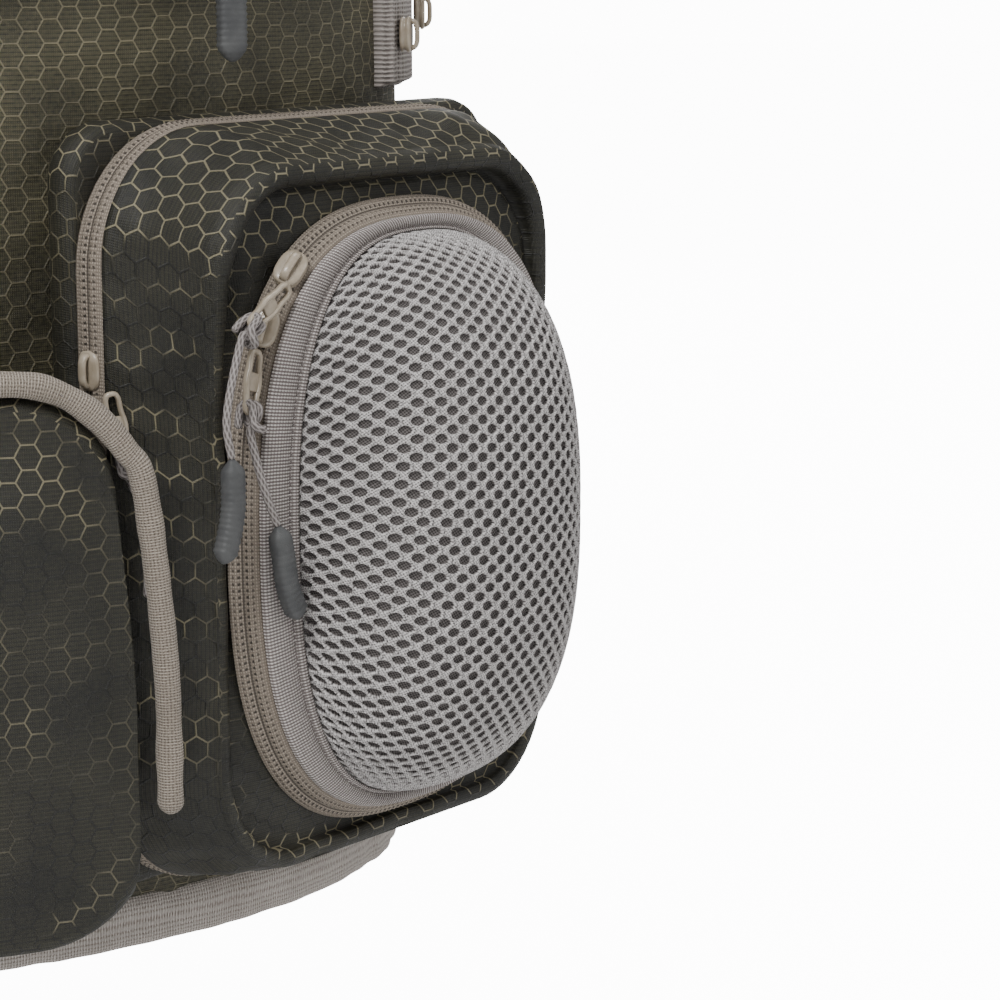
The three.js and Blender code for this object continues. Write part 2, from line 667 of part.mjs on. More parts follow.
// Fat knit binding round the upper and outer edge of the front pocket's face.
function frontPocketBinding() {
  const reach = BINDING_RADIUS + FIT;
  const right = FRONT_POCKET_ACROSS + FRONT_POCKET_WIDTH / 2 + reach;
  const left = FRONT_POCKET_ACROSS - FRONT_POCKET_WIDTH / 2 + FRONT_POCKET_CORNER;
  const top = FRONT_POCKET_HEIGHT / 2 + reach;
  const corner = FRONT_POCKET_CORNER + reach;
  const out = FRONT_POCKET_DEPTH - BINDING_RADIUS + 3.5;
  const points = [point(left, top, out), point(mix(left, right - corner, 0.5), top, out)];
  for (const turn of [90, 70, 50, 30, 10]) {
    points.push(point(
      right - corner + corner * Math.cos(turn * degrees),
      top - corner + corner * Math.sin(turn * degrees),
      out,
    ));
  }
  points.push(point(right, 0, out), point(right, -0.35 * top, out), point(right, -0.5 * top, out));
  return bar(points, BINDING_RADIUS, 26);
}

// ---- chest pocket --------------------------------------------------------------------

function chestPocket(plane) {
  const outline = roundedOutline(CHEST_POCKET_WIDTH, CHEST_POCKET_HEIGHT, CHEST_POCKET_CORNER);
  return cut(outlineBlock(outline, -BODY_FALL, CHEST_POCKET_DEPTH), seenFrom(plane, bodyBlock()));
}

function chestPull(side) {
  const low = -CHEST_POCKET_HEIGHT / 2 + 10;
  const middle = point(CHEST_ZIP_ACROSS, low, CHEST_POCKET_DEPTH + FIT + SLIDER_THICKNESS / 2);
  const ahead = point(0, 0, 1);
  const slider = strap(SLIDER_LENGTH, SLIDER_WIDTH, SLIDER_THICKNESS, middle, point(0, 1, 0), ahead);
  const gripTop = low - SLIDER_LENGTH / 2 - 1;
  const gripMiddle = point(CHEST_ZIP_ACROSS, gripTop - CHEST_GRIP_LENGTH / 2, middle.z + 1);
  const grip = strap(CHEST_GRIP_LENGTH, CHEST_GRIP_WIDTH, GRIP_THICKNESS, gripMiddle, point(0, 1, 0), ahead);
  return [
    [`chest_slider_${side}`, slider, ENAMEL],
    [`chest_grip_${side}`, grip, RUBBER],
  ];
}

// ---- flank zip -----------------------------------------------------------------------

function flankZip() {
  return bentSlab(3, 3, (across, up, out) => clothPoint(
    mix(FLANK_ZIP_FROM, FLANK_ZIP_TO, across) * degrees,
    mix(CARGO_RISE + CARGO_HEIGHT / 2 + 4, ARMHOLE_RISE - 8, up),
    mix(SHELL_THICKNESS / 2 + FIT, FLANK_ZIP_PROUD, out),
  ));
}

function flankSlider(angle, rise) {
  const middle = clothPoint(angle, rise, FLANK_ZIP_PROUD + FIT + SLIDER_THICKNESS / 2);
  const facing = clothPoint(angle, rise, 1).sub(clothPoint(angle, rise, 0));
  return strap(SLIDER_LENGTH, SLIDER_WIDTH, SLIDER_THICKNESS, middle, point(0, 0, 1), facing);
}

// ---- both sides ----------------------------------------------------------------------

const cargoHome = pocketPlane(1, CARGO_FACING, CARGO_RISE);
const frontHome = pocketPlane(1, FRONT_POCKET_FACING, FRONT_POCKET_RISE);
const chestHome = pocketPlane(1, CHEST_POCKET_FACING, CHEST_POCKET_RISE);

for (const [side, sign] of [["left", 1], ["right", -1]]) {
  const handed = (geometry) => (sign > 0 ? geometry : mirrored(geometry));
  const add = (parent, pieces) => {
    for (const [name, geometry, finish] of pieces) {
      addPiece(parent, name, handed(geometry), finish);
    }
  };
  const cargoPlane = pocketPlane(sign, CARGO_FACING, CARGO_RISE);
  const frontPlane = pocketPlane(sign, FRONT_POCKET_FACING, FRONT_POCKET_RISE);
  const chestPlane = pocketPlane(sign, CHEST_POCKET_FACING, CHEST_POCKET_RISE);
  vest.add(cargoPlane, frontPlane, chestPlane);
  add(vest, [
    [`front_panel_${side}`, frontPanel(), CLOTH],
    [`flank_zip_${side}`, flankZip(), KNIT],
    [`flank_slider_inner_${side}`, flankSlider(FLANK_INNER_ANGLE * degrees, FLANK_INNER_RISE), ENAMEL],
    [`flank_slider_outer_${side}`, flankSlider(FLANK_OUTER_ANGLE * degrees, FLANK_OUTER_RISE), ENAMEL],
  ]);
  add(cargoPlane, [
    [`cargo_base_${side}`, cargoBase(cargoHome), CLOTH],
    [`cargo_zip_${side}`, cargoZip(), KNIT],
    [`cargo_front_${side}`, cargoFront(), CLOTH],
    ...cargoPull(side),
    [`pod_zip_${side}`, podZip(), KNIT],
    [`pod_band_${side}`, podBand(), MESH],
    [`pod_cover_${side}`, podCover(), MESH],
    [`fly_foam_${side}`, flyFoam(), FOAM],
    ...podPulls(side),
  ]);
  add(frontPlane, [
    [`front_pocket_${side}`, frontPocket(frontHome, cargoHome), CLOTH],
    [`front_pocket_binding_${side}`, frontPocketBinding(), KNIT],
  ]);
  add(chestPlane, [
    [`chest_pocket_${side}`, chestPocket(chestHome), CLOTH],
    ...chestPull(side),
  ]);
}

// ---- front zip's slider and pull -------------------------------------------------------

const frontZipFace = FRONT_ZIP_THICKNESS - 1;
const frontSliderRise = NECK_RISE - FRONT_SLIDER_BELOW_NECK;
const frontSliderMiddle = clothPoint(0, frontSliderRise, frontZipFace + FIT + SLIDER_THICKNESS / 2);
const frontPullMiddle = clothPoint(
  0,
  frontSliderRise - (SLIDER_LENGTH + FRONT_PULL_LENGTH) / 2 - 1,
  frontZipFace + FIT + SLIDER_THICKNESS / 2 + 1,
);
const upright = point(0, 0, 1);
const forward = point(0, -1, 0);
addPiece(
  vest,
  "front_zip_slider",
  strap(SLIDER_LENGTH, SLIDER_WIDTH, SLIDER_THICKNESS, frontSliderMiddle, upright, forward),
  ENAMEL,
);
addPiece(
  vest,
  "front_zip_pull",
  strap(FRONT_PULL_LENGTH, GRIP_WIDTH, GRIP_THICKNESS, frontPullMiddle, upright, forward),
  RUBBER,
);

export default vest;
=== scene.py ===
import math

import bpy
import numpy as np
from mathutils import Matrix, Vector


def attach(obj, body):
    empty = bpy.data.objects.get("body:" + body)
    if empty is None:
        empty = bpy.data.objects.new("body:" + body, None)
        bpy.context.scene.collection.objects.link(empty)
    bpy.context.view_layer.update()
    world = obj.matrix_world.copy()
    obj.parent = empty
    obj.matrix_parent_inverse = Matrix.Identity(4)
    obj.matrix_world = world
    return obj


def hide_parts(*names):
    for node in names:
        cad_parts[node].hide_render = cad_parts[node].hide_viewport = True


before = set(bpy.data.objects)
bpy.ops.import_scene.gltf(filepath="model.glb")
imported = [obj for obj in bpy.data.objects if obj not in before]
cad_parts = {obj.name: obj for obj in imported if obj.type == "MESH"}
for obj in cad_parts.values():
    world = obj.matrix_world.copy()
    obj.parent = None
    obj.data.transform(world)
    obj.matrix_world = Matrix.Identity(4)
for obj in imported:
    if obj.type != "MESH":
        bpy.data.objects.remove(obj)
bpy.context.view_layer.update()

# ---- camera, floor and light -----------------------------------------------------------
# The vest is looked at from in front of its left cargo pocket, a little above it, as if
# on a stand in a pale studio whose backdrop and floor look bright but light the vest little.
# Sizes in this file are millimetres unless they say metres.
MM = 0.001
VIEW_TARGET = np.array([234.0, -126.4, -486.3])
VIEW_AZIMUTH = math.radians(-8)
VIEW_ELEVATION = math.radians(11.5)
VIEW_DISTANCE = 800
FLOOR_HEIGHT = -0.72  # metres
WORLD_AS_LAMP, WORLD_AS_BACKDROP = 0.26, 13.0
FLOOR_GLOW, FLOOR_LAMP_SHARE = 12.5, 0.004

camera = bpy.data.objects.new("camera", bpy.data.cameras.new("camera"))
bpy.context.scene.collection.objects.link(camera)
view_back = np.array([
    math.sin(VIEW_AZIMUTH) * math.cos(VIEW_ELEVATION),
    -math.cos(VIEW_AZIMUTH) * math.cos(VIEW_ELEVATION),
    math.sin(VIEW_ELEVATION),
])
camera.location = (VIEW_TARGET + VIEW_DISTANCE * view_back) * MM
camera.rotation_euler = Vector(-view_back).to_track_quat("-Z", "Y").to_euler()
camera.data.lens = 100.8
camera.data.sensor_width = 36
camera.data.clip_start = 0.02
bpy.context.scene.camera = camera


def studio_light(name, place, aim, size, power):
    """A soft square lamp at a place in metres, turned to the point that it lights."""
    lamp = bpy.data.objects.new(name, bpy.data.lights.new(name, "AREA"))
    bpy.context.scene.collection.objects.link(lamp)
    lamp.location = place
    lamp.rotation_euler = (Vector(aim) - Vector(place)).to_track_quat("-Z", "Y").to_euler()
    lamp.data.size = size
    lamp.data.energy = power
    return lamp


middle = (0.12, -0.12, -0.4)
studio_light("key_light", (-0.25, -0.95, 0.5), (0.15, -0.12, -0.3), 0.5, 16)
studio_light("fill_light", (1.9, -0.8, 0.5), middle, 1.4, 12)
studio_light("top_light", (0.3, 0.1, 1.7), middle, 1.2, 22)
studio_light("back_light", (0.2, 2.1, 0.6), (0, 0, -0.3), 1.6, 20)

world = bpy.data.worlds.new("studio")
world.use_nodes = True
backdrop = world.node_tree.nodes["Background"]
backdrop.inputs["Color"].default_value = (1, 1, 1, 1)
seen_directly = world.node_tree.nodes.new("ShaderNodeLightPath").outputs["Is Camera Ray"]
brighter = world.node_tree.nodes.new("ShaderNodeMapRange")
brighter.inputs["To Min"].default_value = WORLD_AS_LAMP
brighter.inputs["To Max"].default_value = WORLD_AS_BACKDROP
world.node_tree.links.new(seen_directly, brighter.inputs["Value"])
world.node_tree.links.new(brighter.outputs[0], backdrop.inputs["Strength"])
bpy.context.scene.world = world

floor_mesh = bpy.data.meshes.new("floor")
floor_mesh.from_pydata(
    [(x * 9, y * 9, FLOOR_HEIGHT) for x, y in ((-1, -1), (1, -1), (1, 1), (-1, 1))], [], [(0, 1, 2, 3)]
)
floor = bpy.data.objects.new("floor", floor_mesh)
bpy.context.scene.collection.objects.link(floor)
floor_paint = bpy.data.materials.new("floor_paint")
floor_paint.use_nodes = True
floor_surface = floor_paint.node_tree.nodes["Principled BSDF"].inputs
floor_surface["Base Color"].default_value = (0.9, 0.9, 0.9, 1)
floor_surface["Roughness"].default_value = 0.9
floor_surface["Emission Strength"].default_value = FLOOR_GLOW
floor_glow = floor_paint.node_tree.nodes.new("ShaderNodeMapRange")
floor_glow.inputs["To Min"].default_value = FLOOR_LAMP_SHARE
floor_seen = floor_paint.node_tree.nodes.new("ShaderNodeLightPath").outputs["Is Camera Ray"]
floor_paint.node_tree.links.new(floor_seen, floor_glow.inputs["Value"])
floor_paint.node_tree.links.new(floor_glow.outputs[0], floor_surface["Emission Color"])
floor_mesh.materials.append(floor_paint)

# ---- shell: back and front panels --------------------------------------------------------
# One layer of coated nylon ripstop with a woven honeycomb of thicker thread. The front
# panels run over the shoulders and are sewn to the back panel behind them.
SIDES = (("left", 1), ("right", -1))
VEST_LENGTH = 620
HALF_WIDTH, HALF_DEPTH = 215, 140
CHEST_RISE, ARMHOLE_RISE, NECK_RISE = 420, 370, 455
NECK_HALF_WIDTH, ARMHOLE_HALF_WIDTH = 78, 165
SHOULDER_SLOPE, SHOULDER_RUN = 0.3, 250
PANEL_TOP = CHEST_RISE + SHOULDER_RUN * 2 / 3
SHOULDER_SEAM = 2 * (CHEST_RISE + SHOULDER_RUN) - PANEL_TOP - 0.3
PANEL_FOOT = 9  # the panels end inside the hem binding
SEAM_GAP = 0.3 / HALF_DEPTH
ZIP_EDGE = math.asin(6.3 / HALF_WIDTH)


def mix(low, high, share):
    return low + (high - low) * share


def smooth(low, high, value):
    """0 below low, 1 above high, and an S curve between."""
    share = np.clip((np.asarray(value, float) - low) / (high - low), 0, 1)
    return share * share * (3 - 2 * share)


def cloth_point(angle, rise, proud=0.0):
    """The worn body: an oval tube up to the chest line, then an arch over the shoulder.
    angle is round the body from the front, rise the height above the hem along the cloth."""
    arc = np.maximum(0, rise - CHEST_RISE) / SHOULDER_RUN * np.pi / 2
    drop = np.maximum(0, CHEST_RISE - rise)
    past_neck = np.maximum(0, HALF_WIDTH * np.abs(np.sin(angle)) - NECK_HALF_WIDTH)
    ridge = VEST_LENGTH - SHOULDER_SLOPE * past_neck
    return np.stack(np.broadcast_arrays(
        (HALF_WIDTH + proud) * np.sin(angle),
        -(HALF_DEPTH + proud) * np.cos(angle) * np.cos(arc),
        CHEST_RISE - drop - VEST_LENGTH + (ridge + proud - CHEST_RISE) * np.sin(arc),
    ), -1)


def armhole_angle(rise):
    share = np.clip((rise - ARMHOLE_RISE) / (PANEL_TOP - ARMHOLE_RISE), 0, 1)
    return mix(np.pi / 2, math.asin(ARMHOLE_HALF_WIDTH / HALF_WIDTH), np.sqrt(share * (2 - share)))


def neck_angle(rise):
    share = np.clip((rise - NECK_RISE) / (PANEL_TOP - NECK_RISE), 0, 1)
    return mix(ZIP_EDGE, math.asin(NECK_HALF_WIDTH / HALF_WIDTH), share)


def oval_length(angle):
    """Length along the body's oval from the front to an angle, by adding up short steps."""
    steps = np.linspace(0, 2 * np.pi, 721)
    speed = np.hypot(HALF_WIDTH * np.cos(steps), HALF_DEPTH * np.sin(steps))
    lengths = np.concatenate([[0], np.cumsum((speed[1:] + speed[:-1]) / 2)]) * steps[1]
    return np.interp(angle, steps, lengths)


def waves(across, up, seed, size, count=9):
    """Soft uneven folds between about -1 and 1: a few sine waves of mixed direction and length."""
    draw = np.random.default_rng(seed)
    total = 0
    for _ in range(count):
        turn, length, start = draw.uniform(0, np.pi), size * draw.uniform(0.6, 1.9), draw.uniform(0, 6.28)
        total = total + np.sin(2 * np.pi * (across * np.cos(turn) + up * np.sin(turn)) / length + start)
    return total / math.sqrt(count) / 1.4


def grid_faces(rows, columns, around=False, start=0):
    """Four-sided faces of a grid of points kept row by row; around joins the last column to the first."""
    row = np.arange(rows - 1)[:, None]
    column = np.arange(columns if around else columns - 1)[None]
    following = (column + 1) % columns
    corners = (row * columns + column, row * columns + following,
               (row + 1) * columns + following, (row + 1) * columns + column)
    return np.stack(np.broadcast_arrays(*corners), -1).reshape(-1, 4) + start


def sheet_faces(rows, columns):
    """A closed sheet from two grids, outer then inner: both layers, and a wall round the edge."""
    outer, inner = grid_faces(rows, columns), grid_faces(rows, columns, start=rows * columns)[:, ::-1]
    index = np.arange(rows * columns).reshape(rows, columns)
    edge = np.concatenate([index[0, :-1], index[:-1, -1], index[-1, :0:-1], index[:0:-1, 0]])
    ahead = np.roll(edge, -1)
    wall = np.stack([ahead, edge, edge + rows * columns, ahead + rows * columns], -1)
    return [outer, inner, wall]


def add_piece(name, points, faces, uv, material, body, stands_for=(), turn=1):
    """A mesh from points in millimetres for the wearer's left; turn -1 mirrors it to the right.
    uv holds one pair in metres for each point, or one for each corner of each face."""
    points = np.asarray(points, float).reshape(-1, 3) * (turn * MM, MM, MM)
    polygons = [list(map(int, f[::turn])) for group in faces for f in group]
    mesh = bpy.data.meshes.new(name)
    mesh.from_pydata(points.tolist(), [], polygons)
    uv = np.asarray(uv, float).reshape(-1, 2)
    if len(uv) == len(points) and len(uv) != len(mesh.loops):
        corner = np.zeros(len(mesh.loops), int)
        mesh.loops.foreach_get("vertex_index", corner)
        uv = uv[corner]
    layer = mesh.uv_layers.new(name="cloth")
    layer.data.foreach_set("uv", uv.astype(np.float32).ravel())
    mesh.polygons.foreach_set("use_smooth", np.ones(len(mesh.polygons), bool))
    mesh.materials.append(material)
    piece = bpy.data.objects.new(name, mesh)
    bpy.context.scene.collection.objects.link(piece)
    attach(piece, body)
    if stands_for:
        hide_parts(*stands_for)
    return piece


class Channel:
    """A number that varies over a surface: a socket of a material's nodes, with arithmetic."""

    def __init__(self, finish, socket):
        self.finish, self.socket = finish, socket

    def math(self, operation, *others, clamp=False):
        values = {0: self, **{i + 1: value for i, value in enumerate(others)}}
        return self.finish.node("ShaderNodeMath", {"operation": operation, "use_clamp": clamp}, values)

    def __add__(self, other):
        return self.math("ADD", other)

    def __sub__(self, other):
        return self.math("SUBTRACT", other)

    def __mul__(self, other):
        return self.math("MULTIPLY", other)

    def __truediv__(self, other):
        return self.math("DIVIDE", other)

    def __rsub__(self, other):
        return (self * -1).math("ADD", other)

    __radd__, __rmul__ = __add__, __mul__

    def step(self, low, high):
        """0 at low, 1 at high and an S curve between; low may be the larger."""
        return self.finish.node(
            "ShaderNodeMapRange", {"interpolation_type": "SMOOTHSTEP"},
            {"Value": self, "From Min": low, "From Max": high}
        )


class Finish:
    """A procedural material: its nodes are made by one method, and its patterns read the piece's
    own coordinates in metres."""

    def __init__(self, name, roughness=0.8, **constants):
        self.material = bpy.data.materials.new(name)
        self.material.use_nodes = True
        self.tree = self.material.node_tree
        self.surface = self.tree.nodes["Principled BSDF"]
        self.surface.inputs["Roughness"].default_value = roughness
        for socket, value in constants.items():
            self.surface.inputs[socket.replace("_", " ")].default_value = value

    def node(self, kind, settings=None, values=None, output=0):
        made = self.tree.nodes.new(kind)
        for setting, value in (settings or {}).items():
            setattr(made, setting, value)
        for socket, value in (values or {}).items():
            if isinstance(value, Channel):
                self.tree.links.new(value.socket, made.inputs[socket])
            else:
                made.inputs[socket].default_value = value
        return Channel(self, made.outputs[output])

    def place(self, flat=True):
        """The coordinates that a pattern reads: the cloth's own UV, or the piece's space."""
        if flat:
            return self.node("ShaderNodeUVMap", {"uv_map": "cloth"})
        return self.node("ShaderNodeTexCoord", output=3)

    def parts(self, place):
        split = self.node("ShaderNodeSeparateXYZ", None, {0: place}).socket.node
        return [Channel(self, split.outputs[i]) for i in range(3)]

    def noise(self, place, pitch, detail=2.0, stretch=None):
        """Noise whose cells are about pitch metres wide, wider along a stretched direction."""
        if stretch:
            place = self.node("ShaderNodeMapping", None, {"Vector": place, "Scale": stretch})
        return self.node("ShaderNodeTexNoise", None,
                         {"Vector": place, "Scale": 1 / pitch, "Detail": detail})

    def ripple(self, along, pitch):
        """A sine wave between 0 and 1 of that pitch along a coordinate."""
        return (along * (2 * math.pi / pitch)).math("SINE") * 0.5 + 0.5

    def blend(self, share, first, second):
        """A colour between two, each a linear (r, g, b) or the result of another blend."""
        pair = [c if isinstance(c, Channel) else (*c, 1) for c in (first, second)]
        mixed = self.node("ShaderNodeMix", {"data_type": "RGBA"}, None)
        node = mixed.socket.node
        for socket, value in zip((0, 6, 7), (share, *pair)):
            if isinstance(value, Channel):
                self.tree.links.new(value.socket, node.inputs[socket])
            else:
                node.inputs[socket].default_value = value
        return Channel(self, node.outputs[2])

    def colour(self, value):
        self.tree.links.new(value.socket, self.surface.inputs["Base Color"])

    def gloss(self, roughness):
        self.tree.links.new(roughness.socket, self.surface.inputs["Roughness"])

    def relief(self, height, depth):
        """Bump from a height between 0 and 1 that stands for that many metres."""
        bump = self.node("ShaderNodeBump", None, {"Height": height, "Distance": depth})
        self.tree.links.new(bump.socket, self.surface.inputs["Normal"])


def srgb(red, green, blue):
    """A colour from 0 to 255 as screens show it, turned into the linear light that shaders use."""
    return tuple(((c / 255 + 0.055) / 1.055) ** 2.4 if c > 10 else c / 255
                 / 12.92 for c in (red, green, blue))


HEX_HEIGHT = 0.0065  # metres across a honeycomb cell's flats
SHELL_OLIVE = srgb(24, 23, 14), srgb(58, 55, 38), srgb(104, 99, 73)
# The pockets' cloth is the shell's ripstop darkened as painted shade, with more of its thread in painted
# shade.
POCKET_OLIVE_SHADED = srgb(9, 9, 5), srgb(27, 26, 16), srgb(60, 57, 40)
# The honeycomb thread's tan is a painted highlight and its dark is painted shade.
THREAD_PAINTED_LIGHT, THREAD_PAINTED_SHADE = srgb(138, 130, 104), srgb(12, 11, 7)


def ripstop(name, weft, painted_light_from):
    """Plain weave of fine dark olive thread, crossed by a honeycomb of thicker thread, painted tan as a
    highlight where it faces up to the light and dark as painted shade where it faces down."""
    cloth = Finish(name, 0.62)
    flat = cloth.place()
    u, v, _ = cloth.parts(flat)
    wander = cloth.noise(flat, 0.05) - 0.5
    u, v = u + wander * 0.002, v + wander * 0.0016
    width = HEX_HEIGHT * math.sqrt(3)

    def cell(shift):
        x = ((u + shift * width).math("FLOORED_MODULO", width) - width / 2)
        y = ((v + shift * HEX_HEIGHT).math("FLOORED_MODULO", HEX_HEIGHT) - HEX_HEIGHT / 2)
        x, y = x.math("ABSOLUTE"), y.math("ABSOLUTE")
        return (x * (math.sqrt(3) / 2) + y * 0.5).math("MAXIMUM", y)

    edge = HEX_HEIGHT / 2 - cell(0).math("MINIMUM", cell(0.5))
    line = edge.step(0.00036, 0.00013)
    weave = cloth.ripple(u, 0.00062) * cloth.ripple(v, 0.00062)
    rib = cloth.ripple(v, 0.00125)
    normal_up = cloth.parts(cloth.node("ShaderNodeNewGeometry", output=1))[2]
    broad = cloth.noise(flat, 0.035, 3)
    # painted highlight and painted shade on the honeycomb thread: the mask follows which way the surface
    # faces, loosened by broad noise
    facing = (normal_up * 1.5 + broad * 0.6).step(painted_light_from, painted_light_from + 0.38)
    shade = cloth.blend(cloth.noise(flat, 0.0011, 3).step(0.3, 0.72), weft[0], weft[1])
    shade = cloth.blend((weave * 0.6 + rib * 0.45) * broad.step(0.2, 0.8), shade, weft[2])
    thread = cloth.blend(facing, THREAD_PAINTED_SHADE, THREAD_PAINTED_LIGHT)
    cloth.colour(cloth.blend(line * 0.8, shade, thread))
    cloth.gloss(0.66 - line * 0.12 - broad * 0.12)
    crease = cloth.noise(cloth.place(False), 0.016, 4)
    cloth.relief(line * 0.12 + weave * 0.06 + crease, 0.0019)
    return cloth.material


SHELL_RIPSTOP = ripstop("shell_ripstop", SHELL_OLIVE, 0.06)
# The same cloth as the shell, darker all over as painted shade.
POCKET_RIPSTOP_SHADED = ripstop("pocket_ripstop_painted_shade", POCKET_OLIVE_SHADED, 0.2)


def panel(name, body, angle, rise, folds, stands_for, turn=1):
    """A closed 2 mm layer over part of the body, pushed out by its folds; its UV is the cloth laid flat."""
    outer, inner = cloth_point(angle, rise, 1 + folds), cloth_point(angle, rise, folds - 1)
    uv = np.stack([oval_length(angle), rise], -1) * MM
    made = add_piece(name, [outer.reshape(-1, 3), inner.reshape(-1, 3)], sheet_faces(*angle.shape),
                     np.concatenate([uv.reshape(-1, 2)] * 2), SHELL_RIPSTOP, body,
                     stands_for, turn)
    return made


across, up = np.meshgrid(np.linspace(0, 1, 70), np.linspace(0, 1, 190))
rise = mix(PANEL_FOOT, SHOULDER_SEAM, up)
angle = mix(neck_angle(rise), armhole_angle(rise) - SEAM_GAP, across)
drape = smooth(0.0, 0.06, across) * smooth(1.0, 0.9, across) * smooth(20, 60, rise) * smooth(SHOULDER_SEAM,
                                                                                             700, rise)
folds = drape * (1.1 + 1.1 * waves(oval_length(angle), rise * 0.25, 5, 46))
for side, turn in SIDES:
    panel(f"shell_front_{side}", "shell", angle, rise, folds, [f"front_panel_{side}"], turn)

across, up = np.meshgrid(np.linspace(0, 1, 130), np.linspace(0, 1, 150))
rise = mix(PANEL_FOOT, PANEL_TOP, up)
half = armhole_angle(rise) - SEAM_GAP
angle = mix(np.pi - half, np.pi + half, across)
drape = smooth(0.0, 0.04, across) * smooth(1.0, 0.96, across) * smooth(20, 60, rise) * smooth(PANEL_TOP,
                                                                                              560, rise)
folds = drape * (1.2 + 1.2 * waves(oval_length(angle), rise * 0.3, 8, 60))
panel("shell_back", "shell", angle, rise, folds, ["back_panel"])

# ---- hem, collar and armhole bindings ----------------------------------------------------
# The raw edges are bound in soft warm grey knit: a wide puckered band round the hem, a fat
# roll round the neck and a thin one round each armhole.
HEM_HEIGHT = 16
COLLAR_RADIUS, COLLAR_INSET = 4, 5
ARMHOLE_BINDING_RADIUS = 2.4
KNIT_LIGHT, KNIT_MID, KNIT_DARK = srgb(188, 178, 165), srgb(146, 135, 122), srgb(78, 70, 61)


def rib_knit(name, pale, mid, dark, pitch, fleck=0.55):
    """Heather knit: ribs across the band's length, flecked with lighter and darker yarn."""
    cloth = Finish(name, 0.92, Sheen_Weight=0.12)
    flat = cloth.place()
    u, v, _ = cloth.parts(flat)
    rib = cloth.ripple(v + (cloth.noise(flat, 0.006) - 0.5) * (pitch * 0.7), pitch)
    stitch = cloth.ripple(u, pitch * 1.3)
    yarn = cloth.noise(flat, 0.00045, 2)
    shade = cloth.blend((yarn * fleck + rib * (0.75 - fleck) + stitch * 0.25).step(0.18, 0.62), dark, mid)
    shade = cloth.blend((yarn * (rib + 0.4)).step(0.45, 0.85), shade, pale)
    broad = cloth.noise(flat, 0.02, 3)
    cloth.colour(cloth.blend(broad.step(0.3, 0.8) * 0.25, shade, dark))
    cloth.relief(rib * 0.6 + stitch * 0.25 + yarn * 0.35, pitch * 0.45)
    return cloth.material


HEM_KNIT = rib_knit("hem_knit", srgb(206, 199, 192), srgb(176, 168, 161), srgb(120, 111, 103), 0.0009)
BINDING_KNIT = rib_knit("binding_knit", KNIT_LIGHT, KNIT_MID, KNIT_DARK, 0.0008)


def path_frame(path, normal=None):
    """Unit directions along a path, and two square to it of which the first is nearest to normal. With
    no normal, the first pair is carried along the path, turning only as much as the path does."""
    ahead = np.gradient(path, axis=0)
    ahead /= np.linalg.norm(ahead, axis=1, keepdims=True)
    if normal is None:
        carried = [np.eye(3)[np.argmin(np.abs(ahead[0]))]]
        for direction in ahead:
            out = carried[-1] - direction * (direction @ carried[-1])
            carried.append(out / np.linalg.norm(out))
        out = np.array(carried[1:])
        return ahead, out, np.cross(out, ahead)
    out = np.broadcast_to(normal, path.shape) - ahead * (ahead * normal).sum(1, keepdims=True)
    out = out / np.linalg.norm(out, axis=1, keepdims=True)
    return ahead, out, np.cross(out, ahead)


def path_length(path):
    return np.concatenate([[0], np.cumsum(np.linalg.norm(np.diff(path, axis=0), axis=1))])


def sweep(name, path, normal, section, material, body, stands_for=(), turn=1, scale=None):
    """A profile carried along a path. section is [sideways, outwards] corners for every row,
    or one set for them all; scale grows or shrinks each row. Both ends are closed flat."""
    _, out, side = path_frame(path, normal)
    section = np.broadcast_to(section, (len(path), *np.shape(section)[-2:]))
    if scale is not None:
        section = section * np.asarray(scale)[:, None, None]
    points = path[:, None] + section[..., :1] * side[:, None] + section[..., 1:] * out[:, None]
    rows, columns = points.shape[:2]
    girth = np.linspace(0, np.linalg.norm(np.diff(section[rows // 2], axis=0), axis=1).sum() * columns
                        / (columns - 1), columns + 1)
    faces = grid_faces(rows, columns, around=True)
    along = path_length(path)
    corner_row = np.stack([faces // columns], -1)[..., 0]
    corner_column = np.where((faces % columns == 0) & ((faces % columns).max(1, keepdims=True) == columns
                                                       - 1), columns, faces % columns)
    uv = np.stack([girth[corner_column], along[corner_row]], -1).reshape(-1, 2) * MM
    caps = [np.arange(columns)[None, ::-1], np.arange(columns)[None] + (rows - 1) * columns]
    flat_caps = np.zeros((2 * columns, 2))
    groups = [faces, *caps]
    uv = np.concatenate([uv, flat_caps])
    if turn < 0:  # a mirrored face lists its corners backwards, and so does its UV
        whole = uv[:faces.size].reshape(-1, 4, 2)[:, ::-1].reshape(-1, 2)
        uv = np.concatenate([whole, flat_caps])
    return add_piece(name, points, groups, uv, material, body, stands_for, turn)


def ring(radius_across, radius_out=None, corners=14, squareness=2.0):
    """The outline of a bar: a circle, or an oval that squareness makes boxier."""
    turn = np.linspace(0, 2 * np.pi, corners, endpoint=False)
    power = 2 / squareness
    across = np.sign(np.cos(turn)) * np.abs(np.cos(turn)) ** power * radius_across
    out = np.sign(np.sin(turn)) * np.abs(np.sin(turn)) ** power * (radius_out or radius_across)
    return np.stack([across, out], -1)


def spline(points, count):
    """A smooth path through points, evenly spaced: the Catmull-Rom cubic between each pair."""
    points = np.asarray(points, float)
    padded = np.concatenate([[2 * points[0] - points[1]], points, [2 * points[-1] - points[-2]]])
    place = np.linspace(0, len(points) - 1 - 1e-9, 24 * len(points))
    first = place.astype(int)
    t = (place - first)[:, None]
    a, b, c, d = (padded[first + k] for k in range(4))
    path = 0.5 * (2 * b + (c - a) * t + (2 * a - 5 * b + 4 * c - d) * t**2 + (3 * b - a - 3 * c + d) * t**3)
    length = path_length(path)
    even = np.linspace(0, length[-1], count)
    return np.stack([np.interp(even, length, path[:, k]) for k in range(3)], -1)


def round_ends(count, length, radius):
    """Scale of each row of a bar whose two ends are rounded like half a ball."""
    from_end = np.minimum(np.arange(count), np.arange(count)[::-1]) * length / (count - 1)
    share = np.clip(from_end / radius, 0.04, 1)
    return np.sqrt(share * (2 - share))


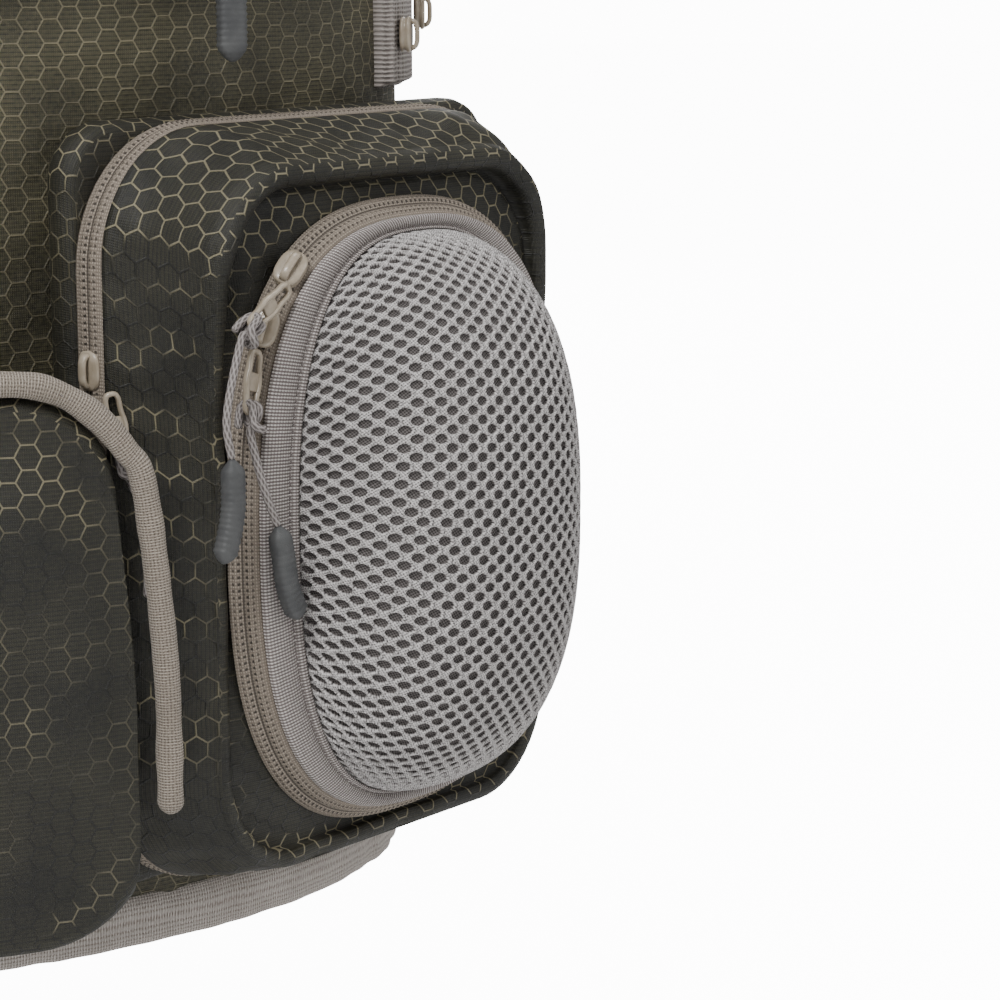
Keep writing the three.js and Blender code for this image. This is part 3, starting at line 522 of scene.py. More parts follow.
# hem: a flattened tube whose height and thickness pucker along its length
count = 760
angle = np.linspace(ZIP_EDGE, 2 * np.pi - ZIP_EDGE, count)
path = cloth_point(angle, HEM_HEIGHT / 2)
along = path_length(path)
outward = cloth_point(angle, HEM_HEIGHT / 2, 1) - path
pucker = waves(along, along * 0, 3, 11) * 0.5 + waves(along, along * 0, 4, 27) * 0.6
section = ring(HEM_HEIGHT / 2, 2.2, 26, 2.8)[None] * np.ones((count, 1, 1))
ridge = np.sin(section[..., 0] / HEM_HEIGHT * 2 * np.pi * 1.5 + 0.6
               * waves(along, along * 0, 6, 60)[:, None])
section[..., 1] *= 1 + 0.16 * pucker[:, None] + 0.1 * ridge
section[..., 0] *= 1 + 0.035 * pucker[:, None]
section[..., 1] += 0.45 * waves(along[:, None], section[..., 0] * 0.6, 12, 17)
sweep("hem", path, outward, section, HEM_KNIT, "shell", ["hem_band"])

# collar: the roll follows the neck's edge, over the shoulders and across the back
rises = mix(NECK_RISE, PANEL_TOP, np.array([0.12, 0.4, 0.7, 0.93]))
front_run = cloth_point(neck_angle(rises) - math.asin(1.15 * COLLAR_INSET / HALF_WIDTH), rises)
over = math.asin((NECK_HALF_WIDTH - COLLAR_INSET) / HALF_WIDTH)
over_run = cloth_point(np.array([over, over]), CHEST_RISE + SHOULDER_RUN * np.array([80, 100]) / 90)
share = np.array([0.8, 0.5, 0])
back_rise = 2 * (CHEST_RISE + SHOULDER_RUN) - PANEL_TOP - COLLAR_INSET * (1 + share**3)
back_run = cloth_point(np.arcsin(NECK_HALF_WIDTH * share / HALF_WIDTH), back_rise)
half_path = np.concatenate([front_run, over_run, back_run])
path = spline(np.concatenate([half_path, half_path[-2::-1] * (-1, 1, 1)]), 300)
thickness = COLLAR_RADIUS * (1 + 0.05 * waves(path_length(path), path[:, 0] * 0, 9, 14))
sweep("collar_roll", path, np.array([0.0, 0.0, 1.0]), ring(1, 1, 18), BINDING_KNIT, "shell",
      ["collar"],
      scale=thickness * round_ends(len(path), path_length(path)[-1], COLLAR_RADIUS))

# armhole bindings: a thin roll along the edge of both panels
rises = np.concatenate([np.linspace(ARMHOLE_RISE + 1, 400, 8), np.linspace(410, PANEL_TOP, 14)])
edge_front = cloth_point(armhole_angle(rises), rises)
edge_over = cloth_point(np.full(9, math.asin(ARMHOLE_HALF_WIDTH / HALF_WIDTH)),
                        np.linspace(PANEL_TOP + 8, SHOULDER_SEAM - 8, 9))
edge_back = cloth_point(np.pi - armhole_angle(rises[::-1]), rises[::-1])
armhole = spline(np.concatenate([edge_front, edge_over, edge_back[:-1]]), 340)
for side, turn in SIDES:
    sweep(f"armhole_binding_{side}", armhole, np.array([1.0, 0.0, 0.3]),
          ring(ARMHOLE_BINDING_RADIUS, corners=12),
          BINDING_KNIT, "shell", turn=turn,
          scale=round_ends(340, path_length(armhole)[-1], ARMHOLE_BINDING_RADIUS))

# ---- front zip -----------------------------------------------------------------------------
# A closed reverse coil zip on a beige tape joins the two front panels; its slider carries a
# ribbed rubber pull.
TAPE_LIGHT, TAPE_MID, TAPE_GAP_SHADE = srgb(158, 147, 133), srgb(116, 106, 95), srgb(38, 33, 28)
COIL_PITCH = 1.9


def coil_tape():
    """Woven zip tape with the coil turned inwards, so that its stitching shows as rows of small gaps either
    side of the closed middle; the gaps and the line down the middle are painted dark as shade. UV runs across
    the tape from its middle, and along it."""
    tape = Finish("zip_tape", 0.8)
    flat = tape.place()
    u, v, _ = tape.parts(flat)
    centre = u.math("ABSOLUTE")
    slot_row = (centre - 0.00125).math("ABSOLUTE").step(0.00055, 0.0003)
    far_row = (centre - 0.0031).math("ABSOLUTE").step(0.0005, 0.00025)
    gap = tape.ripple(v, COIL_PITCH * MM).step(0.45, 0.85)
    seam = centre.step(0.0004, 0.00015)
    weave = tape.ripple(v, 0.00095) * tape.ripple(u, 0.0008)
    yarn = tape.noise(flat, 0.0006, 2)
    shade = tape.blend((weave * 0.6 + yarn * 0.5).step(0.2, 0.7), TAPE_MID, TAPE_LIGHT)
    # painted shade: the stitch gaps and the line down the closed middle turn near black
    dark = (slot_row * gap + far_row * gap * 0.75 + seam * 0.8).math("MINIMUM", 1)
    tape.colour(tape.blend(dark * 0.85, shade, TAPE_GAP_SHADE))
    tape.relief(weave * 0.25 + yarn * 0.2 - dark * 0.6 + 0.6, 0.0006)
    return tape.material


ZIP_TAPE = coil_tape()


def coil_height(across, along):
    """How far a closed coil lifts its tape: two soft ridges beside the middle, notched at each turn."""
    ridge = np.exp(-((np.abs(across) - 1.9) / 1.1) ** 2)
    return 0.75 * ridge * (1 + 0.22 * np.cos(2 * np.pi * along / COIL_PITCH))


FRONT_ZIP_TOP = NECK_RISE - 0.3
rows = 950
along = np.linspace(0, FRONT_ZIP_TOP, rows)
across = np.linspace(-6, 6, 21)
u, v = np.meshgrid(across, along)
outer = cloth_point(np.arcsin(u / HALF_WIDTH), v, 1.3 + coil_height(u, v))
inner = cloth_point(np.arcsin(u / HALF_WIDTH), v, -1.0)
uv = np.stack([u, v], -1).reshape(-1, 2) * MM
add_piece("front_zip_tape", [outer.reshape(-1, 3), inner.reshape(-1, 3)], sheet_faces(rows, 21),
          np.concatenate([uv, uv]), ZIP_TAPE, "shell", ["front_zip"])

# ---- cargo pocket ----------------------------------------------------------------------------
# A stuffed two-part pocket on the front of the hip: a squared flange sewn to the shell, a
# beige zip that arches round it, and a front half whose face is drawn in to a rolled rim.
CARGO_FACING, CARGO_RISE = math.radians(42), 134
CARGO_WIDTH, CARGO_HEIGHT = 172, 216
FLANGE_FACE, FLANGE_BACK, FLANGE_CORNER = 8, -3, 16
CARGO_ZIP_BACK, CARGO_ZIP_FACE, CARGO_ZIP_INSET = 8.3, 17.8, 3
CARGO_CORNER = 36
CARGO_FRONT_BACK, CARGO_FACE = 18.1, 32.1
FACE_INSET_INNER, FACE_INSET_TOP = 25, 10
POD_MIDDLE = np.array([15.5, -8.0])
POD_HALF = np.array([70.0, 92.0])
POD_SQUARENESS = 2.6


class Plane:
    """A flat frame that touches the body where it faces some way round from the front:
    across, up and out, in millimetres."""

    def __init__(self, facing, rise):
        angle = math.atan(math.tan(facing) * HALF_WIDTH / HALF_DEPTH)
        self.origin = np.array([HALF_WIDTH * math.sin(angle), -HALF_DEPTH * math.cos(angle),
                                rise - VEST_LENGTH])
        self.axes = np.array([
            [math.cos(facing), math.sin(facing), 0], [0, 0, 1], [math.sin(facing), -math.cos(facing), 0],
        ])

    def place(self, local):
        return np.asarray(local, float) @ self.axes + self.origin

    def seen(self, points):
        return (points - self.origin) @ self.axes.T

    def body_out(self, across, proud=1.2):
        """How far out the shell lies under a point: the farther crossing of a straight line with the oval."""
        start = self.origin[:2] + np.asarray(across)[..., None] * self.axes[0, :2]
        scale = np.array([HALF_WIDTH + proud, HALF_DEPTH + proud])
        p, d = start / scale, self.axes[2, :2] / scale
        a, b, c = (d * d).sum(), 2 * (p * d).sum(-1), (p * p).sum(-1) - 1
        return (-b + np.sqrt(np.maximum(0, b * b - 4 * a * c))) / (2 * a)


CARGO = Plane(CARGO_FACING, CARGO_RISE)


def rounded(width, height, corner, count, middle=(0, 0)):
    """A rectangle with round corners, as count evenly spaced points that start at the middle
    of its right side and go up."""
    right, top = width / 2 - corner, height / 2 - corner
    quarter = np.linspace(0, np.pi / 2, 13)
    centres = ((right, top), (-right, top), (-right, -top), (right, -top))
    arcs = [np.stack([x + corner * np.cos(quarter + k * np.pi / 2),
                      y + corner * np.sin(quarter + k * np.pi / 2)], -1)
            for k, (x, y) in enumerate(centres)]
    outline = np.concatenate([[[width / 2, 0]], *arcs, [[width / 2, 0]]])
    length = path_length(outline)
    even = np.linspace(0, length[-1], count, endpoint=False)
    return np.stack([np.interp(even, length, outline[:, k]) for k in range(2)], -1) + middle


def pod_share(across, up):
    """How far out from the pod's middle a point lies, as a share of its outline."""
    x, y = np.abs(across - POD_MIDDLE[0]) / POD_HALF[0], np.abs(up - POD_MIDDLE[1]) / POD_HALF[1]
    return (x**POD_SQUARENESS + y**POD_SQUARENESS) ** (1 / POD_SQUARENESS)


def pouch(name, plane, rings, face_from, material, body, stands_for=(), turn=1):
    """A closed pocket from rings of points, foot to face, each in the plane's frame. From ring
    face_from on, the cloth pattern lies flat across the face; before it, it runs round the wall."""
    rows, columns = rings.shape[:2]
    faces = grid_faces(rows, columns, around=True)
    points = plane.place(rings)
    girth = path_length(np.concatenate([rings[face_from], rings[face_from, :1]]))
    steps = np.linalg.norm(np.diff(rings, axis=0), axis=-1)
    depth = np.concatenate([np.zeros((1, columns)), np.cumsum(steps, axis=0)])
    row, column = faces // columns, faces % columns
    depth = depth[row, column]
    column = np.where((column == 0) & (column.max(1, keepdims=True) == columns - 1), columns, column)
    wall = np.stack([girth[column], depth], -1)
    flat = rings.reshape(-1, 3)[faces][..., :2] + 400
    on_face = (row.min(1) >= face_from)[:, None, None]
    uv = np.where(on_face, flat, wall)
    if turn < 0:
        uv = uv[:, ::-1]
    uv = np.concatenate([uv.reshape(-1, 2), np.zeros((2 * columns, 2))]) * MM
    caps = [np.arange(columns)[None, ::-1], np.arange(columns)[None] + (rows - 1) * columns]
    return add_piece(name, points, [faces, *caps], uv, material, body, stands_for, turn)


def outlines(sizes, count):
    """Rings from (inset, out) pairs round one rectangle: [width, height, corner] and the pairs."""
    (width, height, corner), pairs = sizes
    rings = [np.column_stack([rounded(width - 2 * i, height - 2 * i, max(1, corner - i), count),
                              np.full(count, out)])
             for i, out in pairs]
    return np.array(rings)


# flange: its rolled edge, and the tuck behind it that reaches the shell
flange = outlines(((CARGO_WIDTH, CARGO_HEIGHT, FLANGE_CORNER), [
    (4, FLANGE_BACK), (1.2, FLANGE_BACK + 0.3), (0.3, FLANGE_BACK + 1.6), (-0.6, 1), (-0.6, 4),
    (0.2, FLANGE_FACE - 1.4),
    (1.2, FLANGE_FACE - 0.4), (2.4, FLANGE_FACE - 0.1), (8, FLANGE_FACE - 0.1), (14, FLANGE_FACE - 0.1),
]), 320)
tuck = outlines(((CARGO_WIDTH - 32, CARGO_HEIGHT - 16, FLANGE_CORNER),
                 [(0, 0), (0, FLANGE_FACE - 1), (4, FLANGE_FACE - 0.8)]), 240)
tuck[0, :, 2] = np.minimum(CARGO.body_out(tuck[0, :, 0], 0.6), FLANGE_FACE - 2)
edge_waves = waves(flange[..., 0], flange[..., 1] * 0.5, 21, 34)
flange[3:5, :, 2] += 0.5 * edge_waves[3:5]

# front half: side wall, rolled rim, then the face
ring_count = 420
foot = rounded(CARGO_WIDTH - 2, CARGO_HEIGHT - 2, CARGO_CORNER, ring_count)
foot_ahead = np.roll(foot, -1, 0) - np.roll(foot, 1, 0)
foot_out = np.stack([foot_ahead[:, 1], -foot_ahead[:, 0]], -1)
foot_out /= np.linalg.norm(foot_out, axis=1, keepdims=True)


def drawn_in(outline, rising):
    """The outline as the wall climbs: drawn in most at the inner side and at the top."""
    half = np.array([CARGO_WIDTH, CARGO_HEIGHT]) / 2 - 1
    x, y = outline[..., 0], outline[..., 1]
    return np.stack([
        x + FACE_INSET_INNER * (half[0] - x) / (2 * half[0]) * rising,
        y - FACE_INSET_TOP * (half[1] + y) / (2 * half[1]) * rising,
    ], -1)


girth = path_length(foot)
top_share = smooth(40, 95, foot[:, 1])
inner_share = smooth(-30, -75, foot[:, 0])
wall_rows = np.linspace(0, 1, 20)
wall_ring = drawn_in(foot[None], wall_rows[:, None])
puff = (np.sin(np.pi * wall_rows) ** 0.8)[:, None]
wrinkle = waves(girth[None] + 0 * puff, wall_rows[:, None] * 26, 31, 19)
long_fold = waves(girth[None] * 0.55, wall_rows[:, None] * 14 + girth[None] * 0.1, 32, 30)
push = puff * (1.0 + 1.5 * wrinkle + 2.1 * long_fold) * (0.6 + 0.7 * inner_share + 0.4 * top_share)
wall_out = CARGO_FRONT_BACK + (CARGO_FACE - CARGO_FRONT_BACK) * wall_rows[:, None] + 0.35 * push
wall_ring = np.concatenate([wall_ring + foot_out[None] * (0.55 * push)[..., None],
                            (wall_out + 0 * push)[..., None]], -1)

rim = drawn_in(foot, 1)
rim_height = 1.6 + 2.6 * top_share + 0.9 * inner_share + 0.7 * waves(girth, girth * 0, 35, 33)
groove = 1.6 + 3.6 * top_share + 1.6 * inner_share
roll_turn = np.radians([160, 130, 100, 70, 40, 10, -15])
roll_width = 2.6 + 1.3 * top_share
inwards = -foot_out
roll = []
for turn_angle in roll_turn:
    shift = roll_width * (1 - math.cos(math.pi - turn_angle))
    dip = groove if turn_angle < 0 else 0
    height = CARGO_FACE - 0.6 + rim_height * max(0.0, math.sin(turn_angle)) - dip
    roll.append(np.column_stack([rim + inwards * shift[:, None], height]))
face_shares = np.concatenate([np.linspace(0.905, 0.6, 34), np.linspace(0.55, 0.05, 12)])
face_middle = np.array([12.0, -5.0])
face = []
for share in face_shares:
    flat = face_middle + (rim - face_middle) * share
    lift = (waves(flat[:, 0] * 0.8, flat[:, 1] * 0.35, 36, 17) * 1.5
            + waves(flat[:, 0], flat[:, 1], 37, 9) * 0.35)
    sink = groove * smooth(0.8, 0.93, share)
    clear = smooth(1.02, 1.16, pod_share(flat[:, 0], flat[:, 1]))
    face.append(np.column_stack([flat, CARGO_FACE - 0.2 - 0.6 * sink + clear * (lift - 0.4)]))
cargo_rings = np.concatenate([wall_ring, np.array(roll), np.array(face)])
foot_ring = np.concatenate([drawn_in(foot[None] * 0.94, 0),
                            np.full((1, ring_count, 1), CARGO_FRONT_BACK + 0.1)], -1)
cargo_rings = np.concatenate([foot_ring, cargo_rings])

# zip between the two halves: its tape stands on edge, round the pocket
zip_outline = rounded(CARGO_WIDTH - 2 * CARGO_ZIP_INSET, CARGO_HEIGHT - 2 * CARGO_ZIP_INSET, CARGO_CORNER,
                      1480)
zip_ahead = np.roll(zip_outline, -1, 0) - np.roll(zip_outline, 1, 0)
zip_out = np.stack([zip_ahead[:, 1], -zip_ahead[:, 0]], -1)
zip_out = zip_out / np.linalg.norm(zip_ahead, axis=1, keepdims=True)
zip_girth = path_length(zip_outline)
zip_levels = np.linspace(CARGO_ZIP_BACK, CARGO_ZIP_FACE, 17)
zip_centre = (CARGO_ZIP_BACK + CARGO_ZIP_FACE) / 2
bulge = coil_height(zip_levels[:, None] - zip_centre, zip_girth[None]) + 2.4
zip_walls = np.concatenate([
    zip_outline[None] + zip_out[None] * bulge[..., None],
    np.broadcast_to(zip_levels[:, None, None], (17, 1480, 1)),
], -1)
inner_edge = np.concatenate([zip_outline * 0.9, np.zeros((1480, 1))], -1)
zip_rings = np.concatenate([
    inner_edge[None] + (0, 0, CARGO_ZIP_BACK), zip_walls, inner_edge[None] + (0, 0, CARGO_ZIP_FACE),
])


def tape_ring(name, plane, rings, middle_row, material, body, stands_for, turn):
    """A closed ring of zip tape or webbing: its UV runs across it from the middle row, and along it."""
    rows, columns = rings.shape[:2]
    faces = grid_faces(rows, columns, around=True)
    row, column = faces // columns, faces % columns
    column = np.where((column == 0) & (column.max(1, keepdims=True) == columns - 1), columns, column)
    across = path_length(rings[:, 0])
    length = path_length(np.concatenate([rings[int(middle_row)], rings[int(middle_row), :1]]))
    uv = np.stack([across[row] - np.interp(middle_row, np.arange(rows), across), length[column]], -1)
    if turn < 0:
        uv = uv[:, ::-1]
    caps = [np.arange(columns)[None, ::-1], np.arange(columns)[None] + (rows - 1) * columns]
    uv = np.concatenate([uv.reshape(-1, 2), np.full((2 * columns, 2), 0.0)]) * MM
    return add_piece(name, plane.place(rings), [faces, *caps], uv, material, body, stands_for, turn)


for side, turn in SIDES:
    pouch(f"cargo_flange_{side}", CARGO, flange, 7, POCKET_RIPSTOP_SHADED, "shell",
          [f"cargo_base_{side}"], turn)
    pouch(f"cargo_tuck_{side}", CARGO, tuck, 2, POCKET_RIPSTOP_SHADED, "shell", turn=turn)
    tape_ring(f"cargo_zip_tape_{side}", CARGO, zip_rings, 9, ZIP_TAPE, "shell",
              [f"cargo_zip_{side}"], turn)
    stuffed = pouch(f"cargo_pocket_{side}", CARGO, cargo_rings, 22, POCKET_RIPSTOP_SHADED, "shell",
                    [f"cargo_front_{side}"], turn)

# ---- moulded pod: zip ring, webbing, cover and fly foam ------------------------------------------
# A hard moulded shell on the pocket's face opens like a door. From outside in: a coil zip on
# the slope of its wall, grosgrain webbing laid flat and stitched, and knitted spacer mesh
# moulded to a dome over a foam lining. Flies are hooked in the foam sheet inside.
POD_ZIP_BACK, POD_ZIP_FACE, POD_ZIP_RUN, POD_ZIP_WIDTH = 32.4, 39.4, 5, 17
POD_BAND_BACK, POD_BAND_FACE, POD_BAND_INSET, POD_BAND_WIDTH = 39.7, 41.7, 5, 14
POD_DOME_INSET, POD_DOME_HEIGHT, POD_DOME_FULLNESS = 19.3, 43, 2.7
FLY_FOAM_WIDTH, FLY_FOAM_HEIGHT, FLY_FOAM_BACK = 60, 125, 52.74
BAND_NARROWING = 0.3  # how wide the webbing is above and below, as a share of its sides
MESH_PALE, MESH_MID, MESH_DARK = srgb(232, 228, 226), srgb(164, 159, 157), srgb(64, 60, 59)


def pod_half(inset):
    """Half sizes of the outline drawn in by an inset, which takes less above and below than at the sides."""
    up = min(inset, POD_ZIP_RUN) + BAND_NARROWING * max(0, inset - POD_ZIP_RUN)
    return POD_HALF - np.array([inset, up])


def pod_outline(inset, count):
    """The pod's outline drawn in by an inset: a squarish oval, evenly spaced, from its right side upwards."""
    turn = np.linspace(0, 2 * np.pi, 2001)
    power = 2 / POD_SQUARENESS
    curve = np.stack([np.sign(np.cos(turn)) * np.abs(np.cos(turn)) ** power,
                      np.sign(np.sin(turn)) * np.abs(np.sin(turn)) ** power],
                      -1) * pod_half(inset) + POD_MIDDLE
    length = path_length(curve)
    even = np.linspace(0, length[-1], count, endpoint=False)
    return np.stack([np.interp(even, length, curve[:, k]) for k in range(2)], -1)


def pod_rings(profile, count):
    """Rings round the pod from [inset, out] pairs, lined up point for point with the first."""
    base = pod_outline(0, count)
    turn = (base - POD_MIDDLE) / POD_HALF
    return np.array([np.column_stack([POD_MIDDLE + turn * pod_half(inset), np.full(count, out)])
                     for inset, out in profile])


# zip: the coil runs on the sloping wall, and its tape turns in under the webbing
count = 1160
slope = np.linspace(0, 1, 15)
slope_length = math.hypot(POD_ZIP_RUN, POD_ZIP_FACE - POD_ZIP_BACK)
zip_run = pod_rings([(POD_ZIP_RUN * s, mix(POD_ZIP_BACK, POD_ZIP_FACE, s)) for s in slope], count)
pod_girth = path_length(zip_run[0])
lift = coil_height(((slope - 0.5) * slope_length)[:, None], pod_girth[None])
lean = np.array([(POD_ZIP_FACE - POD_ZIP_BACK), POD_ZIP_RUN]) / slope_length
outward = (zip_run[0, :, :2] - POD_MIDDLE) / POD_HALF**2
outward /= np.linalg.norm(outward, axis=1, keepdims=True)
zip_run[..., :2] += outward[None] * (lift * lean[0])[..., None]
zip_run[..., 2] += lift * lean[1]
zip_inside = pod_rings([(POD_ZIP_WIDTH, POD_ZIP_FACE), (POD_ZIP_WIDTH, POD_ZIP_FACE - 2),
                        (POD_ZIP_RUN + 2, POD_ZIP_FACE - 2),
                        (POD_ZIP_RUN, POD_ZIP_BACK)], count)
pod_zip_rings = np.concatenate([zip_run, zip_inside, zip_run[:1] * (1, 1, 1)])


def closed_ring(name, rings, middle_row, material, body, stands_for, turn, plane=CARGO):
    """A ring closed both round the pod and round its own section; the last row repeats the first."""
    rows, columns = rings.shape[0] - 1, rings.shape[1]
    faces = grid_faces(rows + 1, columns, around=True)
    row, column = faces // columns, faces % columns
    column = np.where((column == 0) & (column.max(1, keepdims=True) == columns - 1), columns, column)
    across = path_length(rings[:, 0])
    length = path_length(np.concatenate([rings[middle_row], rings[middle_row, :1]]))
    uv = np.stack([across[row] - across[middle_row], length[column]], -1)
    if turn < 0:
        uv = uv[:, ::-1]
    return add_piece(name, plane.place(rings[:-1]), [faces % (rows * columns)], uv.reshape(-1, 2) * MM,
                     material, body, stands_for, turn)


def grosgrain():
    """Ribbed webbing in heather lilac-grey: fine cords across its width, dipped in columns."""
    web = Finish("grosgrain_webbing", 0.85)
    flat = web.place()
    u, v, _ = web.parts(flat)
    sway = web.noise(flat, 0.004) - 0.5
    rib = web.ripple(v + sway * 0.0002, 0.00095)
    dip = web.ripple(u + sway * 0.0003, 0.00118)
    yarn = web.noise(flat, 0.0004, 2)
    bead = (rib * (dip * 0.55 + 0.45)).step(0.12, 0.75)
    shade = web.blend(bead * (yarn * 0.5 + 0.72), srgb(112, 104, 100), srgb(216, 208, 204))
    shade = web.blend((yarn * bead).step(0.5, 0.8), shade, srgb(240, 235, 232))
    web.colour(shade)
    web.relief(bead, 0.0005)
    return web.material


GROSGRAIN = grosgrain()

band_end = POD_BAND_INSET + POD_BAND_WIDTH
band_profile = [(POD_BAND_INSET + 0.5, POD_BAND_BACK), (POD_BAND_INSET, POD_BAND_BACK + 0.5)]
band_profile += [(POD_BAND_INSET + inset, POD_BAND_FACE + lift) for inset, lift in (
    (0, -0.6), (0.6, -0.05), (2, 0.25), (6, 0.5), (9.4, 0.2), (10.6, -0.35), (11.5, 0.35), (12.7, 0.75))]
band_profile += [(band_end - 0.2, POD_BAND_FACE + 0.5), (band_end + 0.2, POD_BAND_FACE - 0.5),
                 (band_end, POD_BAND_BACK + 0.3), (band_end - 0.5, POD_BAND_BACK), band_profile[0]]
band_rings = pod_rings(band_profile, 620)


def dome_height(share, height):
    return height * np.sqrt(np.maximum(0, 1 - np.minimum(1, share) ** POD_DOME_FULLNESS))


# cover: the fabric is laid out flat round the dome's top, and each cell of its knit is a
# six-sided net with an oval hole. Points past the rim are drawn in to it.
MESH_PITCH_ACROSS, MESH_PITCH_UP = 6.6, 5.3
HOLE_ACROSS, HOLE_UP, HOLE_DEPTH = 2.0, 1.5, 1.3
rim_half = pod_half(POD_DOME_INSET)
meridian = np.linspace(0, 1, 800)
rise_length = path_length(np.column_stack([meridian * rim_half.mean(),
                                           dome_height(meridian, POD_DOME_HEIGHT)]))
cloth_half = rim_half * rise_length[-1] / rim_half.mean()


def over_dome(flat, sunk):
    """Lays flat cloth over the dome: distance out from the middle becomes length along the dome's own curve;
    sunk is how far a point lies below the cloth's face."""
    scaled = flat / cloth_half
    share = (np.abs(scaled) ** POD_SQUARENESS).sum(-1) ** (1 / POD_SQUARENESS)
    held = np.minimum(share, 1)
    plan_share = np.interp(held * rise_length[-1], rise_length, meridian)
    direction = scaled / np.maximum(share, 1e-6)[..., None]
    height = dome_height(plan_share, POD_DOME_HEIGHT)
    steep = np.clip(plan_share, 0, 1) ** 4
    sunk = sunk * smooth(1.0, 0.94, share)
    plan = POD_MIDDLE + direction * rim_half * plan_share[..., None] - direction * (sunk * steep)[..., None]
    return np.concatenate([plan, (POD_BAND_BACK + height - sunk * (1 - 0.7 * steep))[..., None]], -1)


corner = np.linspace(0, 2 * np.pi, 12, endpoint=False)
diagonal = (MESH_PITCH_ACROSS**2 + MESH_PITCH_UP**2) / (4 * MESH_PITCH_ACROSS)
tip = np.array([[diagonal, 0], [MESH_PITCH_ACROSS / 2 - diagonal, MESH_PITCH_UP / 2]])
six = np.array([tip[0], tip[1], tip[1] * (-1, 1), -tip[0], -tip[1], tip[1] * (1, -1)])
cell_edge = np.stack([six, (six + np.roll(six, -1, 0)) / 2], 1).reshape(12, 2)
aim = np.arctan2(cell_edge[:, 1], cell_edge[:, 0])
oval = np.stack([HOLE_ACROSS * np.cos(aim), HOLE_UP * np.sin(aim)], -1)
levels = [(cell_edge, 0.0), (oval * 1.28, -0.28), (oval * 1.05, 0.12), (oval * 0.94, 0.7),
          (oval * 0.86, HOLE_DEPTH)]
reach = int(max(cloth_half) / min(MESH_PITCH_ACROSS, MESH_PITCH_UP)) + 2
i, j = np.meshgrid(np.arange(-reach, reach + 1), np.arange(-2 * reach, 2 * reach + 1))
centres = np.stack([(i + 0.5 * (j % 2)) * MESH_PITCH_ACROSS, j * MESH_PITCH_UP / 2], -1).reshape(-1, 2)
slant = math.radians(-7)
centres = centres @ np.array([[math.cos(slant), math.sin(slant)], [-math.sin(slant), math.cos(slant)]])
spin = np.array([[math.cos(slant), math.sin(slant)], [-math.sin(slant), math.cos(slant)]])
inside = ((np.abs(centres / (cloth_half + 1.2))) ** POD_SQUARENESS).sum(-1) < 1
centres = centres[inside]
flat_points = np.concatenate([centres[:, None] + (shape @ spin)[None] for shape, _ in levels]
                             + [centres[:, None]], 1)
sunk = np.concatenate([np.full(12, depth) for _, depth in levels] + [[HOLE_DEPTH]])
mesh_points = over_dome(flat_points, np.broadcast_to(sunk, flat_points.shape[:2]))
cell_size = flat_points.shape[1]
k = np.arange(12)
net = np.concatenate([np.stack([lvl * 12 + k, lvl * 12 + (k + 1) % 12, (lvl + 1) * 12 + (k + 1) % 12,
                                (lvl + 1) * 12 + k], -1)
                      for lvl in range(len(levels) - 1)])
bottom = np.stack([48 + k, 48 + (k + 1) % 12, np.full(12, 60)], -1)
offset = (np.arange(len(centres)) * cell_size)[:, None, None]
net_faces, bottom_faces = (net[None] + offset).reshape(-1, 4), (bottom[None] + offset).reshape(-1, 3)
net_uv = (flat_points.reshape(-1, 2) + 200) * MM


def spacer_mesh():
    """Heather knit of pale and dark yarn. The attribute 'depth' is 0 on the face and 1 at the bottom of a
    hole, where the colour is darkened as painted shade."""
    knit = Finish("spacer_mesh", 0.9, Sheen_Weight=0.1)
    flat = knit.place()
    u, v, _ = knit.parts(flat)
    depth = knit.node("ShaderNodeAttribute", {"attribute_name": "depth"}, output=2)
    speck = knit.noise(flat, 0.00042, 3)
    strand = knit.ripple(u + v * 0.6, 0.0008) * 0.5 + knit.ripple(u * 0.6 - v, 0.0009) * 0.5
    pale = knit.blend((speck * 0.8 + strand * 0.3).step(0.3, 0.72), MESH_DARK, MESH_PALE)
    pale = knit.blend(knit.noise(flat, 0.012) * 0.35, pale, MESH_MID)
    # painted shade: the knit turns dark grey towards the bottom of each hole
    hole_painted_shade = knit.blend((strand * 0.7 + speck * 0.4).step(0.3, 0.8), srgb(58, 54, 53), srgb(112, 107, 105))
    knit.colour(knit.blend(depth.step(0.25, 0.7), pale, hole_painted_shade))
    knit.relief(speck * 0.7 + strand * 0.3, 0.0005)
    return knit.material


SPACER_MESH = spacer_mesh()


def foam_finish(name, colour, pit):
    foam = Finish(name, 0.9)
    cells = foam.noise(foam.place(False), 0.0011, 3)
    foam.colour(foam.blend(cells.step(0.35, 0.75), colour, pit))
    foam.relief(cells, 0.0004)
    return foam.material


FLY_FOAM = foam_finish("fly_foam", srgb(226, 222, 210), srgb(188, 182, 168))
LINING = foam_finish("pod_lining", srgb(92, 92, 92), srgb(60, 60, 60))

# The lining under the knit is a closed bowl: its inner skin, then its outer skin.
BOWL_CORNERS = 96
lining_shares = np.array([1, 0.985, 0.95, 0.9, 0.83, 0.74, 0.62, 0.48, 0.32, 0.16, 0.03])


def bowl(shares, inset, drop):
    """Rings of a skin that follows the dome, drawn in by inset and lowered by drop."""
    rings = []
    plan = pod_outline(0, BOWL_CORNERS)
    for share in shares:
        ring_points = POD_MIDDLE + (plan - POD_MIDDLE) / POD_HALF * (rim_half - inset) * share
        height = POD_BAND_BACK + 0.1 + dome_height(share, POD_DOME_HEIGHT - drop)
        rings.append(np.column_stack([ring_points, np.full(BOWL_CORNERS, height)]))
    return rings


